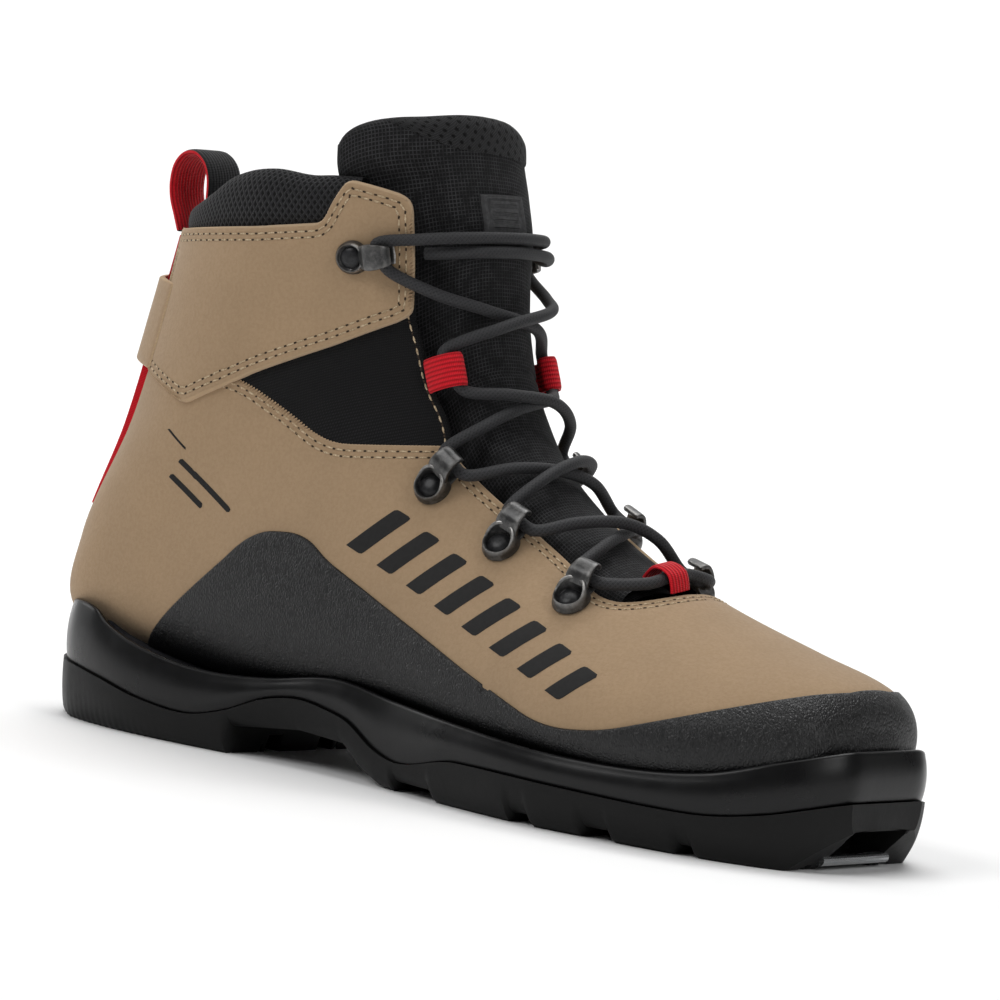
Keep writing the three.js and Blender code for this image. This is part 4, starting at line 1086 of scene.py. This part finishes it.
def make_strap():
    top, bottom = round_back(STRAP_TOP), round_back(STRAP_BOTTOM)
    outline = Outline([
        (top, True),
        (np.stack([top[-1], bottom[-1]]), True),
        (bottom[::-1], True),
        (np.stack([bottom[0], top[0]]), True),
    ])
    piece = panel("heel_strap_leather", outline, lambda u, v: strap_lift(u, v) + LEATHER, strap_lift,
                  "nubuck", edge=0.8, spacing=1.8, under=True)
    finish_piece(piece, "boot", "nubuck", "heel_strap")


def make_heel_tape():
    """Thick red tape up the back seam, as a strip of even width."""
    half, thick = 13, 2.4
    us = np.linspace(0.797, 0.985, 90)
    turn = np.linspace(-0.22, 0.22, 161)
    across = np.concatenate([[-half], np.linspace(-half, half, 27), [half]])
    height = np.concatenate([[0], thick - 0.35 * np.abs(across[1:-1] / half) ** 10, [0]])
    rows = []
    for u in us:
        ring = last(u, 1 + turn)
        v = 1 + np.interp(across, ring[::-1, 1], turn[::-1])
        rows.append(above(u, v, height))
    rows = np.array(rows)
    piece = skin("heel_tape_webbing", rows, [M["red"]], grid_uv(across, lengths_along(rows[:, 14])), 60)
    finish_piece(piece, "boot", "red_webbing", "heel_tape")


def solve_u(z, v):
    """u where the last's shaft reaches height z at v."""
    low, high = np.full(np.shape(v), 0.70), np.full(np.shape(v), 1.2)
    for _ in range(30):
        middle = (low + high) / 2
        lower = last(middle, v)[..., 2] < z
        low = np.where(lower, middle, low)
        high = np.where(lower, high, middle)
    return (low + high) / 2


def make_collar():
    """Padded roll round the back of the mouth."""
    vs = np.linspace(0.345, 1.655, 190)
    x = above(solve_u(165, vs), vs, -3.4)[:, 0]
    top = line_at(COLLAR_TOP, x)
    foot = np.interp(x, *COLLAR_FOOT.T)
    ends = smooth_step(0.345, 0.40, vs) * smooth_step(1.655, 1.60, vs)
    rows = []
    for share, height, _ in catmull([(a, b, 0) for a, b in COLLAR_PROFILE], 46):
        z = foot + (top - foot) * share
        puff = height * (0.55 + 0.45 * ends) if height > -3.6 else height
        rows.append(above(solve_u(z, vs), vs, puff))
    rows = np.array(rows)
    uv = grid_uv(lengths_along(rows[10]), lengths_along(rows[:, 95]))
    piece = skin("collar_padding", rows, [M["collar"]], uv, 80)
    finish_piece(piece, "boot", "knit", "collar")


def ribbon(path, count, flip, width, thickness, columns):
    """Closed band of even width along a path in x, z, with its two long edges rounded.

    Its first face looks along the cross product of y and the path's direction, times flip.
    """
    line = catmull([(x, 0, z) for x, z in path], count)
    side = np.array([0.0, 1.0, 0.0])
    normal = flip * np.cross(side, tangents(line))
    across = np.linspace(-width / 2, width / 2, columns)
    swell = thickness / 2 * (1 - 0.6 * (np.abs(across) / (width / 2)) ** 8)
    ring_across = np.concatenate([across, across[::-1]])
    ring_out = np.concatenate([swell, -swell[::-1]])
    rows = line[:, None] + side * ring_across[:, None] + normal[:, None] * ring_out[:, None]
    uv = grid_uv(ring_across, lengths_along(line))
    return rows.reshape(-1, 3), grid_faces(count, 2 * columns, True), uv


def make_pull_loop():
    """Webbing loop, black outside and red inside and on its edges."""
    columns = 17
    points, faces, uv = ribbon(PULL_LOOP, 120, 1, PULL_LOOP_WIDTH, 1.8, columns)
    column = np.arange(len(faces)) % (2 * columns)
    outside = (column >= columns) & (column < 2 * columns - 1)
    piece = make_mesh("pull_loop_webbing", points, faces, [M["black"], M["red"]], uv=uv,
                      face_material=np.where(outside, 0, 1), sharp=60)
    finish_piece(piece, "pull_loop", "black_webbing", "pull_loop")


make_leather()
make_rand()
for sign, side_name in ((-1, "lateral"), (1, "medial")):
    side_panel(sign, side_name)
    cuff_panel(sign, side_name)
make_strap()
make_heel_tape()
make_collar()
make_pull_loop()


# ---- tongue -----------------------------------------------------------------------------------
TONGUE_LOW_U = 0.372
TONGUE_SEAM_U = 0.652                   # cross seam under the lacing
# The tongue's top edge and the lower edge of its mesh pad, as v and u across the throat.
TONGUE_TOP = np.array([
    (-0.41, 1.024), (-0.39, 1.038), (-0.35, 1.0445), (-0.29, 1.0445), (-0.20, 1.040), (-0.085, 1.038),
    (0, 1.035), (0.08, 1.027), (0.16, 1.017), (0.30, 1.012), (0.37, 1.004), (0.40, 0.990),
])
PATCH_LOW = np.array([
    (-0.30, 1.043), (-0.225, 1.020), (-0.12, 0.996), (0.08, 0.981), (0.2, 0.977), (0.385, 0.975),
])
LABEL = {"tall": 17, "wide": 15, "raised": 1.3, "field": 0.45, "bars": 0.4}


MM_PER_U = 237                          # along the tongue's upper half


def tongue_edge(u):
    """Half width of the tongue in v: it spreads above the cuff."""
    return 0.35 + 0.06 * smooth_step(0.95, 0.99, u)


def tongue_top(v):
    return spline(TONGUE_TOP[:, 0], TONGUE_TOP[:, 1], v)


def tongue_faces(u, v):
    """Heights of the tongue's front and back faces. It is thickest near its top."""
    wing = -7.6 + 4.4 * smooth_step(0.955, 1.01, u)
    middle = -1.5 + (wing + 1.5) * smooth_step(0.12, 0.2, np.abs(v)) - 2
    from_top = (tongue_top(v) - u) * MM_PER_U
    end = np.clip(from_top / 4, 0, 1)
    border = np.clip((tongue_edge(u) - np.abs(v)) / 0.022, 0, 1)
    rim = np.sqrt(1 - (1 - end) ** 2) * np.sqrt(1 - (1 - border) ** 2)
    half = 2 * rim * (1 + 0.3 * smooth_step(50, 12, from_top))
    return middle + half, middle - half


def make_tongue():
    """One padded sheet from the toe of the throat to above the collar."""
    columns, count = 125, 300
    across = np.linspace(-1, 1, columns)
    fronts, backs = [], []
    for share in np.linspace(0, 1, count):
        wide = 0.35 + 0.06 * smooth_step(0.86, 0.93, share)
        vs = across * wide
        u = TONGUE_LOW_U + (tongue_top(vs) - TONGUE_LOW_U) * share
        vs = across * tongue_edge(u)
        front, back = tongue_faces(u, vs)
        seam = 0.7 * np.exp(-((u - TONGUE_SEAM_U) / 0.0035) ** 2) * smooth_step(0.2, 0.12, np.abs(vs))
        quilt = 0.35 * np.sin(u * 60) * np.cos(vs * 16) * smooth_step(0.64, 0.6, u)
        fronts.append(above(u, vs, front - seam + quilt))
        backs.append(above(u, vs, back))
    fronts, backs = np.array(fronts), np.array(backs)
    points = np.concatenate([fronts.reshape(-1, 3), backs.reshape(-1, 3)])
    first = count * columns
    rims = []
    for line in (np.arange(columns) + first - columns, np.arange(count) * columns,
                 np.arange(count) * columns + columns - 1):
        rims += [[a, b, b + first, a + first] for a, b in zip(line, line[1:])]
    front = grid_faces(count, columns)
    faces = np.concatenate([front, front[:, ::-1] + first, rims])
    middle = columns // 2
    around = np.array([lengths_along(row) - lengths_along(row)[middle] for row in fronts])
    up = lengths_along(fronts[:, middle])
    uv = np.tile(np.stack([around.ravel(), np.repeat(up, columns)], -1), (2, 1))
    piece = make_mesh("tongue_sheet", points, faces, [M["ripstop"]], uv=uv, sharp=80)
    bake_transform(piece)
    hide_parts("tongue_lower", "tongue_upper")


def make_tongue_patch():
    """Air mesh pad sewn over the tongue's top, cut on a slant."""
    vs = np.linspace(*PATCH_LOW[[0, -1], 0], 130)
    top_u = tongue_top(vs) - 0.0015
    low_u = np.minimum(np.interp(vs, *PATCH_LOW.T), top_u - 0.001)
    tall = np.clip((top_u - low_u) / 0.03, 0, 1)
    rows = []
    for share in np.linspace(0, 1, 48):
        u = low_u + (top_u - low_u) * share
        border = np.clip(np.minimum(share / 0.1, (vs[-1] - vs) / 0.012), 0, 1)
        puff = tall * (0.4 * np.sqrt(1 - (1 - border) ** 2) + 0.4 * np.sin(np.pi * share) * border)
        rows.append(above(u, vs, tongue_faces(u, vs)[0] + puff + 0.1))
    rows = np.array(rows)
    uv = grid_uv(lengths_along(rows[20]), lengths_along(rows[:, 60]))
    piece = skin("tongue_air_mesh", rows, [M["air"]], uv, 80)
    finish_piece(piece, "tongue", "knit")


def make_label():
    """Moulded rubber label with a raised frame and plain bars."""
    us = np.linspace(0.842, 0.925, 70)
    vs = np.linspace(-0.06, 0.04, 56)
    s, t = np.meshgrid(np.linspace(0, 1, len(us)), np.linspace(0, 1, len(vs)), indexing="ij")
    from_edge = np.minimum(np.minimum(s, 1 - s) * LABEL["tall"], np.minimum(t, 1 - t) * LABEL["wide"])
    height = LABEL["raised"] * smooth_step(0, 0.5, from_edge)
    height = height - LABEL["field"] * smooth_step(1.4, 1.7, from_edge)
    bars = (np.abs((s * 5.5) % 1 - 0.5) < 0.26) & (np.abs(t - 0.5) < 0.28) & (np.abs(s - 0.5) < 0.36)
    u, v = np.meshgrid(us, vs, indexing="ij")
    points = above(u, v, tongue_faces(u, v)[0] + height + LABEL["bars"] * bars)
    uv = np.stack([t.ravel() * LABEL["wide"], s.ravel() * LABEL["tall"]], -1)
    piece = skin("tongue_label_rubber", points, [M["label"]], uv, 60)
    finish_piece(piece, "tongue", "rubber", "tongue_label")


make_tongue()
make_tongue_patch()
make_label()


# ---- lacing -----------------------------------------------------------------------------------
TOE_KEEPER = (0.356, -0.05)
HOOK_ROWS = [(0.404, 0.176), (0.497, 0.187), (0.582, 0.223)]
LOOP_ROW = (0.668, 0.158)
TOP_ROW = (0.863, 0.297)
HOOK_SETBACK = 8.3                      # from the eye out to the rivet
TOP_SETBACK = 10
TOP_AIM = 0.25                          # the top hooks point this much towards the toe
HOOK_LIFT = 0.5
UNDER = 1.3                             # lace height on the tongue at a crossing
OVER = UNDER + LACE_DIAMETER + 0.4
# u, v and height of each eye, how far along u the lace runs through it, and how its ends turn in
LACE_ROWS = (
    [(u, v, EYE_HEIGHT, 0.015, 0.002) for u, v in HOOK_ROWS]
    + [(*LOOP_ROW, EYE_HEIGHT, 0.024, 0), (*TOP_ROW, EYE_HEIGHT + LEATHER - 0.3, 0.02, 0)]
)


# Share of the way across from a top hook, and height, of the lace's end.
LACE_END = [(0.13, EYE_HEIGHT + LEATHER), (0.3, 2.8), (0.5, 2.4), (0.65, 2.3), (0.8, 1.2), (0.86, 0)]
BRAID = {"strands": 8, "pitch": 11.0, "relief": 0.16, "sides": 32}


def square_slope(u, v, step=0.01):
    """Change of v with u on a line that crosses the lines of constant u at a right angle."""
    along_u = last(u + step, v) - last(u - step, v)
    along_v = last(u, v + step) - last(u, v - step)
    return -np.dot(along_u, along_v) / np.dot(along_v, along_v)


def dip(u, v, step=0.01):
    """How far, in u, the point at v lies below the ridge point of the same section."""
    along_ridge = (last(u + step, 0) - last(u - step, 0)) * np.array([1, 0, 1])
    return 2 * step * np.dot(last(u, 0) - last(u, v), along_ridge) / np.dot(along_ridge, along_ridge)


def crossing_run(row, after, side, crossing):
    """Way points of a run between two eyes, level across the ridge."""
    (u0, v0, height0, half0, _), (u1, v1, height1, half1, _) = row, after
    way = []
    for t in (0.25, 0.5, 0.75):
        u = u0 + half0 + (u1 - half1 - u0 - half0) * t
        v = side * (v0 - (v0 + v1) * t)
        eye_v = side * (v0 + (v1 - v0) * t)
        shoulder = ((height0 if t < 0.5 else height1) + UNDER) / 2 + (crossing - UNDER) * 0.6
        way.append((u - dip(u, eye_v) + dip(u, v), v, crossing if t == 0.5 else shoulder))
    return way


def lacing_end(side):
    """Way points of the end that runs level from one top hook to behind the other cuff's edge."""
    u, v = TOP_ROW
    rise = 0.026 if side < 0 else 0.002
    way = []
    for t, height in LACE_END:
        place = side * v * (1 - 2 * t)
        way.append((u + rise - dip(u, v) + dip(u, place), place, height))
    return way


def lace_half(first_side, crossing):
    """Way points (u, v, height) of one half of the lace, from the toe keeper up."""
    way = []
    side = first_side
    for k, row in enumerate(LACE_ROWS):
        u, v, height, half, bend = row
        slope = square_slope(u, side * v)
        for step in (-1, 0, 1):
            way.append((u + step * half, side * (v - bend * abs(step)) + step * half * slope, height))
        if k + 1 < len(LACE_ROWS):
            way += crossing_run(row, LACE_ROWS[k + 1], side, crossing)
            side = -side
    return way + lacing_end(side)


def lace_path():
    u, v = TOE_KEEPER
    start = lace_half(-1, UNDER)[::-1]
    end = lace_half(1, OVER)
    way = start + [(u, v - 0.06, 3), (u - 0.002, v, 2.8), (u, v + 0.06, 2.8), (u, v + 0.14, 3)] + end
    return [above(*point) for point in way]


def make_lace():
    """Round braided lace, whose strands cross in diamonds."""
    path = lace_path()
    length = lengths_along(catmull(path, 2000))[-1]
    count = int(length / (0.24))
    line = catmull(path, count)
    side, normal = cross_frames(line)
    run = lengths_along(line)
    turn = np.arange(BRAID["sides"]) * 2 * np.pi / BRAID["sides"]
    s, phi = np.meshgrid(run, turn, indexing="ij")
    round_phase = BRAID["strands"] / 2 * phi
    along_phase = np.pi * s * BRAID["strands"] / BRAID["pitch"]
    left, right = np.abs(np.cos(round_phase + along_phase)), np.abs(np.cos(round_phase - along_phase))
    over = np.cos(2 * round_phase) * np.cos(2 * along_phase) > 0
    braid = np.where(over, np.maximum(left, 0.8 * right), np.maximum(right, 0.8 * left))
    radius = LACE_DIAMETER / 2 - BRAID["relief"] * (1 - braid)
    points = (line[:, None] + side[:, None] * (np.cos(phi) * radius)[..., None]
              + normal[:, None] * (np.sin(phi) * radius)[..., None])
    uv = np.stack([phi.ravel() * LACE_DIAMETER / 2, s.ravel()], -1)
    # the braid's relief also goes to the material, which paints highlights on the crests and shade in the
    # grooves
    piece = skin("lace_braid", points, [M["lace"]], uv, 180, wrap=True, values={"braid": braid.ravel()})
    finish_piece(piece, "boot", "lace_cord", "lace")


def place_on_last(points, u, v, height, aim=0.0):
    """Points modelled with +x towards the throat's middle and +z out of the leather.

    aim is how far, in u, the +x direction turns towards the toe for each step of v.
    """
    normal = last_normal(u, v)
    step = 0.02
    inward = last(u - aim * step, v - math.copysign(step, v)) - last(u, v)
    forward = unit(np.cross(normal, inward))
    across = np.cross(forward, normal)
    return above(u, v, height) + points @ np.stack([across, forward, normal])


def join_parts(parts):
    """One (points, faces, values) from several."""
    points, faces, values, first = [], [], [], 0
    for part_points, part_faces, part_values in parts:
        points.append(part_points)
        faces += [[i + first for i in f] for f in part_faces]
        values.append(part_values)
        first += len(part_points)
    return np.concatenate(points), faces, np.concatenate(values)


def cast_cup(radius, wall, low, rise, floor):
    """Ring round the rivet whose wall climbs towards +x, where the bridge grows out of it."""
    turn = np.linspace(0, 2 * np.pi, 72, endpoint=False)
    hood = smooth_step(-0.35, 0.95, np.cos(turn))
    tall = low + rise * hood
    stretch = 1 + 0.14 * hood
    outer, inner = radius * stretch, (radius - wall) * (1 + 0.07 * hood)
    # radius, height and wear of each ring, from the leather up the outside and down to the rivet
    profile = [(outer + 0.45, 0, 0), (outer + 0.4, 0.5, 0.1), (outer, 0.35 * tall + 0.4, 0.05),
               (outer - 0.15, tall - 0.4, 0.6), (outer - 0.45, tall, 1),
               ((outer + inner) / 2, tall + 0.12, 0.9), (inner + 0.2, tall - 0.15, 0.5),
               (inner, tall - 0.7, 0.1), (inner - 0.1, floor + 0.4, 0), (inner - 0.5, floor, 0)]
    rings = [np.stack([r * np.cos(turn), r * np.sin(turn), z + 0 * turn], -1) for r, z, _ in profile]
    worn = np.concatenate([wear * (0.4 + 0.6 * hood) for _, _, wear in profile])
    return np.concatenate(rings), grid_faces(len(rings), len(turn), True), worn


def dome(radius, base, height):
    """Head of a rivet."""
    rings, sides = 8, 48
    turn = np.linspace(0, 2 * np.pi, sides, endpoint=False)
    rows = []
    for t in np.linspace(0, 1, rings):
        r = radius * (1 - t) + 0.02
        z = base + height * (1 - (1 - t) ** 3)
        rows.append(np.stack([r * np.cos(turn), r * np.sin(turn), np.full(sides, z)], -1))
    return np.concatenate(rows), grid_faces(rings, sides, True)


def bridge(path, widths, thickness):
    """Cast tab along a path in x, z, with rounded edges that are worn, as its free end is."""
    line = catmull([(x, 0, z) for x, z in path], 40)
    normal = np.cross([0, 1, 0], tangents(line))
    share = np.linspace(0, 1, len(line))
    half = np.interp(share, np.linspace(0, 1, len(widths)), widths) / 2
    turn = np.linspace(0, 2 * np.pi, 28, endpoint=False)
    a, b = (np.sign(wave) * np.abs(wave) ** 0.35 for wave in (np.cos(turn), np.sin(turn)))
    close = np.sqrt(np.clip(1 - np.clip((share - 0.965) / 0.035, 0, 1) ** 2, 0.02, 1))
    rows = (line[:, None] + np.array([0, 1.0, 0]) * (half * close)[:, None, None] * a[None, :, None]
            + normal[:, None] * (thickness / 2 * close)[:, None, None] * b[None, :, None])
    edge = np.clip(np.abs(a) * np.abs(b), 0, 1) ** 6
    worn = 0.8 * edge + 0.9 * smooth_step(0.9, 1.0, share)[:, None]
    return rows.reshape(-1, 3), grid_faces(len(line), len(turn), True), np.clip(worn, 0, 1).ravel()


def outward_by(distance, u, v, step=0.02):
    """The v that lies a distance further from the ridge than v does."""
    return v + math.copysign(2 * step * distance / np.linalg.norm(last(u, v + step) - last(u, v - step)), v)


def make_hook(row, side, place, cup, tab, rivet):
    """Cast hook of a cup and a tab over the lace, with a domed rivet in the cup."""
    name = f"{row}_cast_hook_{side}"
    points, faces, worn = join_parts([cast_cup(*cup), *(bridge(*part) for part in tab)])
    piece = make_mesh(name, place_on_last(points, *place), faces, [M["gunmetal"]], uv=points[:, :2],
                      values={"worn": worn}, sharp=60)
    finish_piece(piece, "boot", "gunmetal", f"{row}_hook_{side}")
    points, faces = dome(*rivet)
    head = make_mesh(name.replace("hook", "rivet"), place_on_last(points, *place), faces, [M["rivet"]],
                     uv=points[:, :2], sharp=60)
    finish_piece(head, "boot", "gunmetal", f"{row}_rivet_{side}")


# cup: radius, wall, low height, rise and floor. tab: path, widths and thickness of each bridge.
# rivet: radius, foot and height.
LOW_HOOK = {
    "cup": (4.9, 1.0, 3.0, 2.4, 1.0),
    "tab": [([(3.9, 3.6), (5.0, 5.1), (6.4, 6.2), (8.4, 6.6), (10.2, 6.4), (11.3, 5.3), (11.6, 3.7)],
             [8.4, 8.2, 7.7, 7.3, 7.0, 6.6, 5.8], 1.4),
            ([(4.4, 0.4), (7.5, 0.3), (10.6, 0.3)], [7.6, 7.0, 5.4], 0.7)],
    "rivet": (3.7, 1.0, 1.5),
}
TOP_HOOK = {
    "cup": (4.4, 0.9, 1.8, 0.9, 0.8),
    "tab": [([(3.4, 1.4), (4.7, 2.9), (6.1, 4.9), (8.0, 5.7), (11.2, 5.6), (12.5, 4.7), (13.3, 3.2)],
             [6.6, 7.2, 7.4, 7.6, 7.2, 6.4, 5.0], 1.3),
            ([(4.0, 0.4), (9.0, 0.3), (14.0, 0.3)], [7.0, 7.0, 5.4], 0.7)],
    "rivet": (3.4, 0.8, 1.0),
}


def webbing_band(name, place, path, width, turn, node):
    """Band of webbing along a path in x, z of its own place on the last, turned there by an angle."""
    points, faces, uv = ribbon(path, 60, -1, width, 1.2, 15)
    c, s = math.cos(math.radians(turn)), math.sin(math.radians(turn))
    points = points @ np.array([[c, s, 0], [-s, c, 0], [0, 0, 1.0]])
    piece = make_mesh(name, place_on_last(points, *place), faces, [M["red"]], uv=uv, sharp=60)
    finish_piece(piece, "boot", "red_webbing", node)


FOLDED_LOOP = [(-7.4, 0.6), (-6.6, 2.0), (-5, 3.6), (-2.4, 5.1), (0, 5.6), (2.2, 4.9), (3.2, 3), (2.3, 1.1),
               (0.4, 0.4)]
KEEPER_BAND = [(-5.5, 0.3), (-4.7, 2.2), (-3, 4.7), (-1, 5.4), (1, 5.4), (3, 4.7), (4.7, 2.2), (5.5, 0.3)]

make_lace()
for sign, side_name in ((-1, "lateral"), (1, "medial")):
    for row_name, (row_u, row_v) in zip(("lower", "middle", "upper"), HOOK_ROWS):
        rivet_v = outward_by(HOOK_SETBACK, row_u, sign * row_v)
        make_hook(row_name, side_name, (row_u, rivet_v, HOOK_LIFT), **LOW_HOOK)
    rivet_v = outward_by(TOP_SETBACK, TOP_ROW[0], sign * TOP_ROW[1])
    rivet_u = TOP_ROW[0] + TOP_AIM * abs(rivet_v - sign * TOP_ROW[1])
    make_hook("top", side_name, (rivet_u, rivet_v, 2 * GAP + LEATHER, TOP_AIM), **TOP_HOOK)
    webbing_band(f"ankle_webbing_{side_name}", (LOOP_ROW[0], sign * LOOP_ROW[1], GAP), FOLDED_LOOP,
                 WEBBING_WIDTH, 15 * sign, f"ankle_loop_{side_name}")
webbing_band("toe_keeper_webbing", (*TOE_KEEPER, GAP), KEEPER_BAND, 8, 90, "toe_lace_keeper")


# ---- printed marks ----------------------------------------------------------------------------
def print_mark(name, corners, side):
    """Flat mark printed on the leather, from the corners of its side-view outline."""
    corners = [tuple(corner) for corner in corners]
    outline = Outline([(side_uv(corners + corners[:1], side, 0.8), True)])
    piece = panel(name, outline, 0.14, 0.04, "print", edge=0.2, spacing=2.4)
    finish_piece(piece, "boot", "rubber")


BARS = {"count": 8, "first": (124, 67.5), "run": (101, -33), "pitch": 13.2, "width": 6.4,
        "length": 19, "shorter": 0.9}
ANKLE_LINES = [      # both ends in x, z, and half the width
    ((49.6, 92.1), (58.3, 86.7), 0.35),
    ((56, 83.5), (78, 70.8), 0.9),
    ((53, 78.6), (67, 70.6), 0.9),
]


def make_prints(side, name):
    """Plain slanting bars over the rand, and three thin lines behind the ankle."""
    along = unit(np.array(BARS["run"], float))
    lean = 0.86 * np.array([-along[1], along[0]]) + 0.5 * along
    for k in range(BARS["count"]):
        low = np.array(BARS["first"]) + along * BARS["pitch"] * k
        width = along * BARS["width"]
        up = lean * (BARS["length"] - BARS["shorter"] * k)
        print_mark(f"print_bar_{k}_{name}", [low, low + width, low + width + up, low + up], side)
    for k, (tail, head, half) in enumerate(ANKLE_LINES):
        a, b = np.array(tail), np.array(head)
        normal = half * unit(np.array([a[1] - b[1], b[0] - a[0]]))
        print_mark(f"print_line_{k}_{name}", [a - normal, b - normal, b + normal, a + normal], side)


for sign, side_name in ((-1, "lateral"), (1, "medial")):
    make_prints(sign, side_name)

make_stitches()

# ---- CAD pieces that stay as they are ----------------------------------------------------------
KEPT = {
    "binding_bar": "steel", "binding_insert": "tread", "lining": "lining", "footbed": "foam",
    "insole_board": "board", "steel_shank": "steel", "heel_counter": "board", "heel_cushion": "foam",
}
for node_name, material_name in KEPT.items():
    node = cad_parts[node_name]
    node.data.materials.clear()
    node.data.materials.append(M[material_name])


# ---- floor, light and camera -------------------------------------------------------------------
CAMERA = {"turn": 38.5, "rise": 4.2, "roll": 6.4, "distance": 1.8, "lens": 222, "target": (0, 0, 0.095),
          "shift": (0.002, -0.0355)}
FLOOR = {"reach": 7, "back": 3.2, "wall": 4, "radius": 0.9}
MIDDLE = (0, 0, 0.08)                   # what the lights aim at
# name, place, aim, width, height and power in watts
LIGHTS = [
    ("key", (-0.6, -2.0, 2.0), MIDDLE, 1.4, 1.4, 27),
    ("side", (2.0, -0.5, 1.2), MIDDLE, 0.6, 1.4, 12),
    ("top", (0, 0.4, 2.6), MIDDLE, 2.2, 2.2, 30),
    ("heel", (-2.2, -0.4, 1.0), MIDDLE, 0.8, 1.4, 10),
    ("back", (-0.8, 1.0, 2.8), (-1.9, 2.4, 0.6), 2.0, 2.0, 60),
]
WORLD_STRENGTH = 0.15


def make_floor():
    """Pale floor that sweeps up behind the boot."""
    reach, back, radius = FLOOR["reach"], FLOOR["back"], FLOOR["radius"]
    turn = np.linspace(0, np.pi / 2, 13)
    curve = np.stack([back - radius + radius * np.sin(turn), radius - radius * np.cos(turn)], -1)
    profile = np.concatenate([[(-reach, 0)], curve, [(back, FLOOR["wall"])]])
    heading = math.radians(CAMERA["turn"])
    away = np.array([-math.sin(heading), math.cos(heading)])
    right = np.array([away[1], -away[0]])
    points = [(*(away * run + right * side), z) for run, z in profile for side in (-reach, reach)]
    mesh = bpy.data.meshes.new("floor")
    mesh.from_pydata(points, [], grid_faces(len(profile), 2).tolist())
    mesh.polygons.foreach_set("use_smooth", np.ones(len(mesh.polygons), bool))
    floor = bpy.data.objects.new("floor", mesh)
    bpy.context.scene.collection.objects.link(floor)
    s = Surface("pale_floor", 0.9)
    s.set("Base Color", (0.9, 0.9, 0.9, 1))
    mesh.materials.append(s.material)


def area_light(name, place, aim, width, height, power):
    """Rectangular light that looks from its place at its aim."""
    data = bpy.data.lights.new(name, "AREA")
    data.shape = "RECTANGLE"
    data.size, data.size_y = width, height
    data.energy = power
    light = bpy.data.objects.new(name, data)
    bpy.context.scene.collection.objects.link(light)
    light.location = place
    light.rotation_mode = "QUATERNION"
    light.rotation_quaternion = (Vector(aim) - Vector(place)).to_track_quat("-Z", "Y")


def make_lights():
    world = bpy.data.worlds.new("studio")
    bpy.context.scene.world = world
    world.use_nodes = True
    background = world.node_tree.nodes["Background"].inputs
    background["Color"].default_value = (1, 1, 1, 1)
    background["Strength"].default_value = WORLD_STRENGTH
    for light in LIGHTS:
        area_light(*light)
    bpy.context.scene.view_settings.view_transform = "Standard"


def make_camera():
    """Camera that looks at the boot's lateral side and toe from just above it, rolled a little."""
    turn, rise, roll = (math.radians(CAMERA[k]) for k in ("turn", "rise", "roll"))
    back = Vector((math.sin(turn) * math.cos(rise), -math.cos(turn) * math.cos(rise), math.sin(rise)))
    right = Vector((math.cos(turn), math.sin(turn), 0))
    up = back.cross(right)
    right_rolled = right * math.cos(roll) + up * math.sin(roll)
    up_rolled = up * math.cos(roll) - right * math.sin(roll)
    data = bpy.data.cameras.new("camera")
    data.lens = CAMERA["lens"]
    data.sensor_width = 36
    data.shift_x, data.shift_y = CAMERA["shift"]
    data.clip_start, data.clip_end = 0.05, 50
    camera = bpy.data.objects.new("camera", data)
    bpy.context.scene.collection.objects.link(camera)
    place = Matrix((right_rolled, up_rolled, back)).transposed().to_4x4()
    place.translation = Vector(CAMERA["target"]) + back * CAMERA["distance"]
    camera.matrix_world = place
    bpy.context.scene.camera = camera


make_floor()
make_lights()
make_camera()
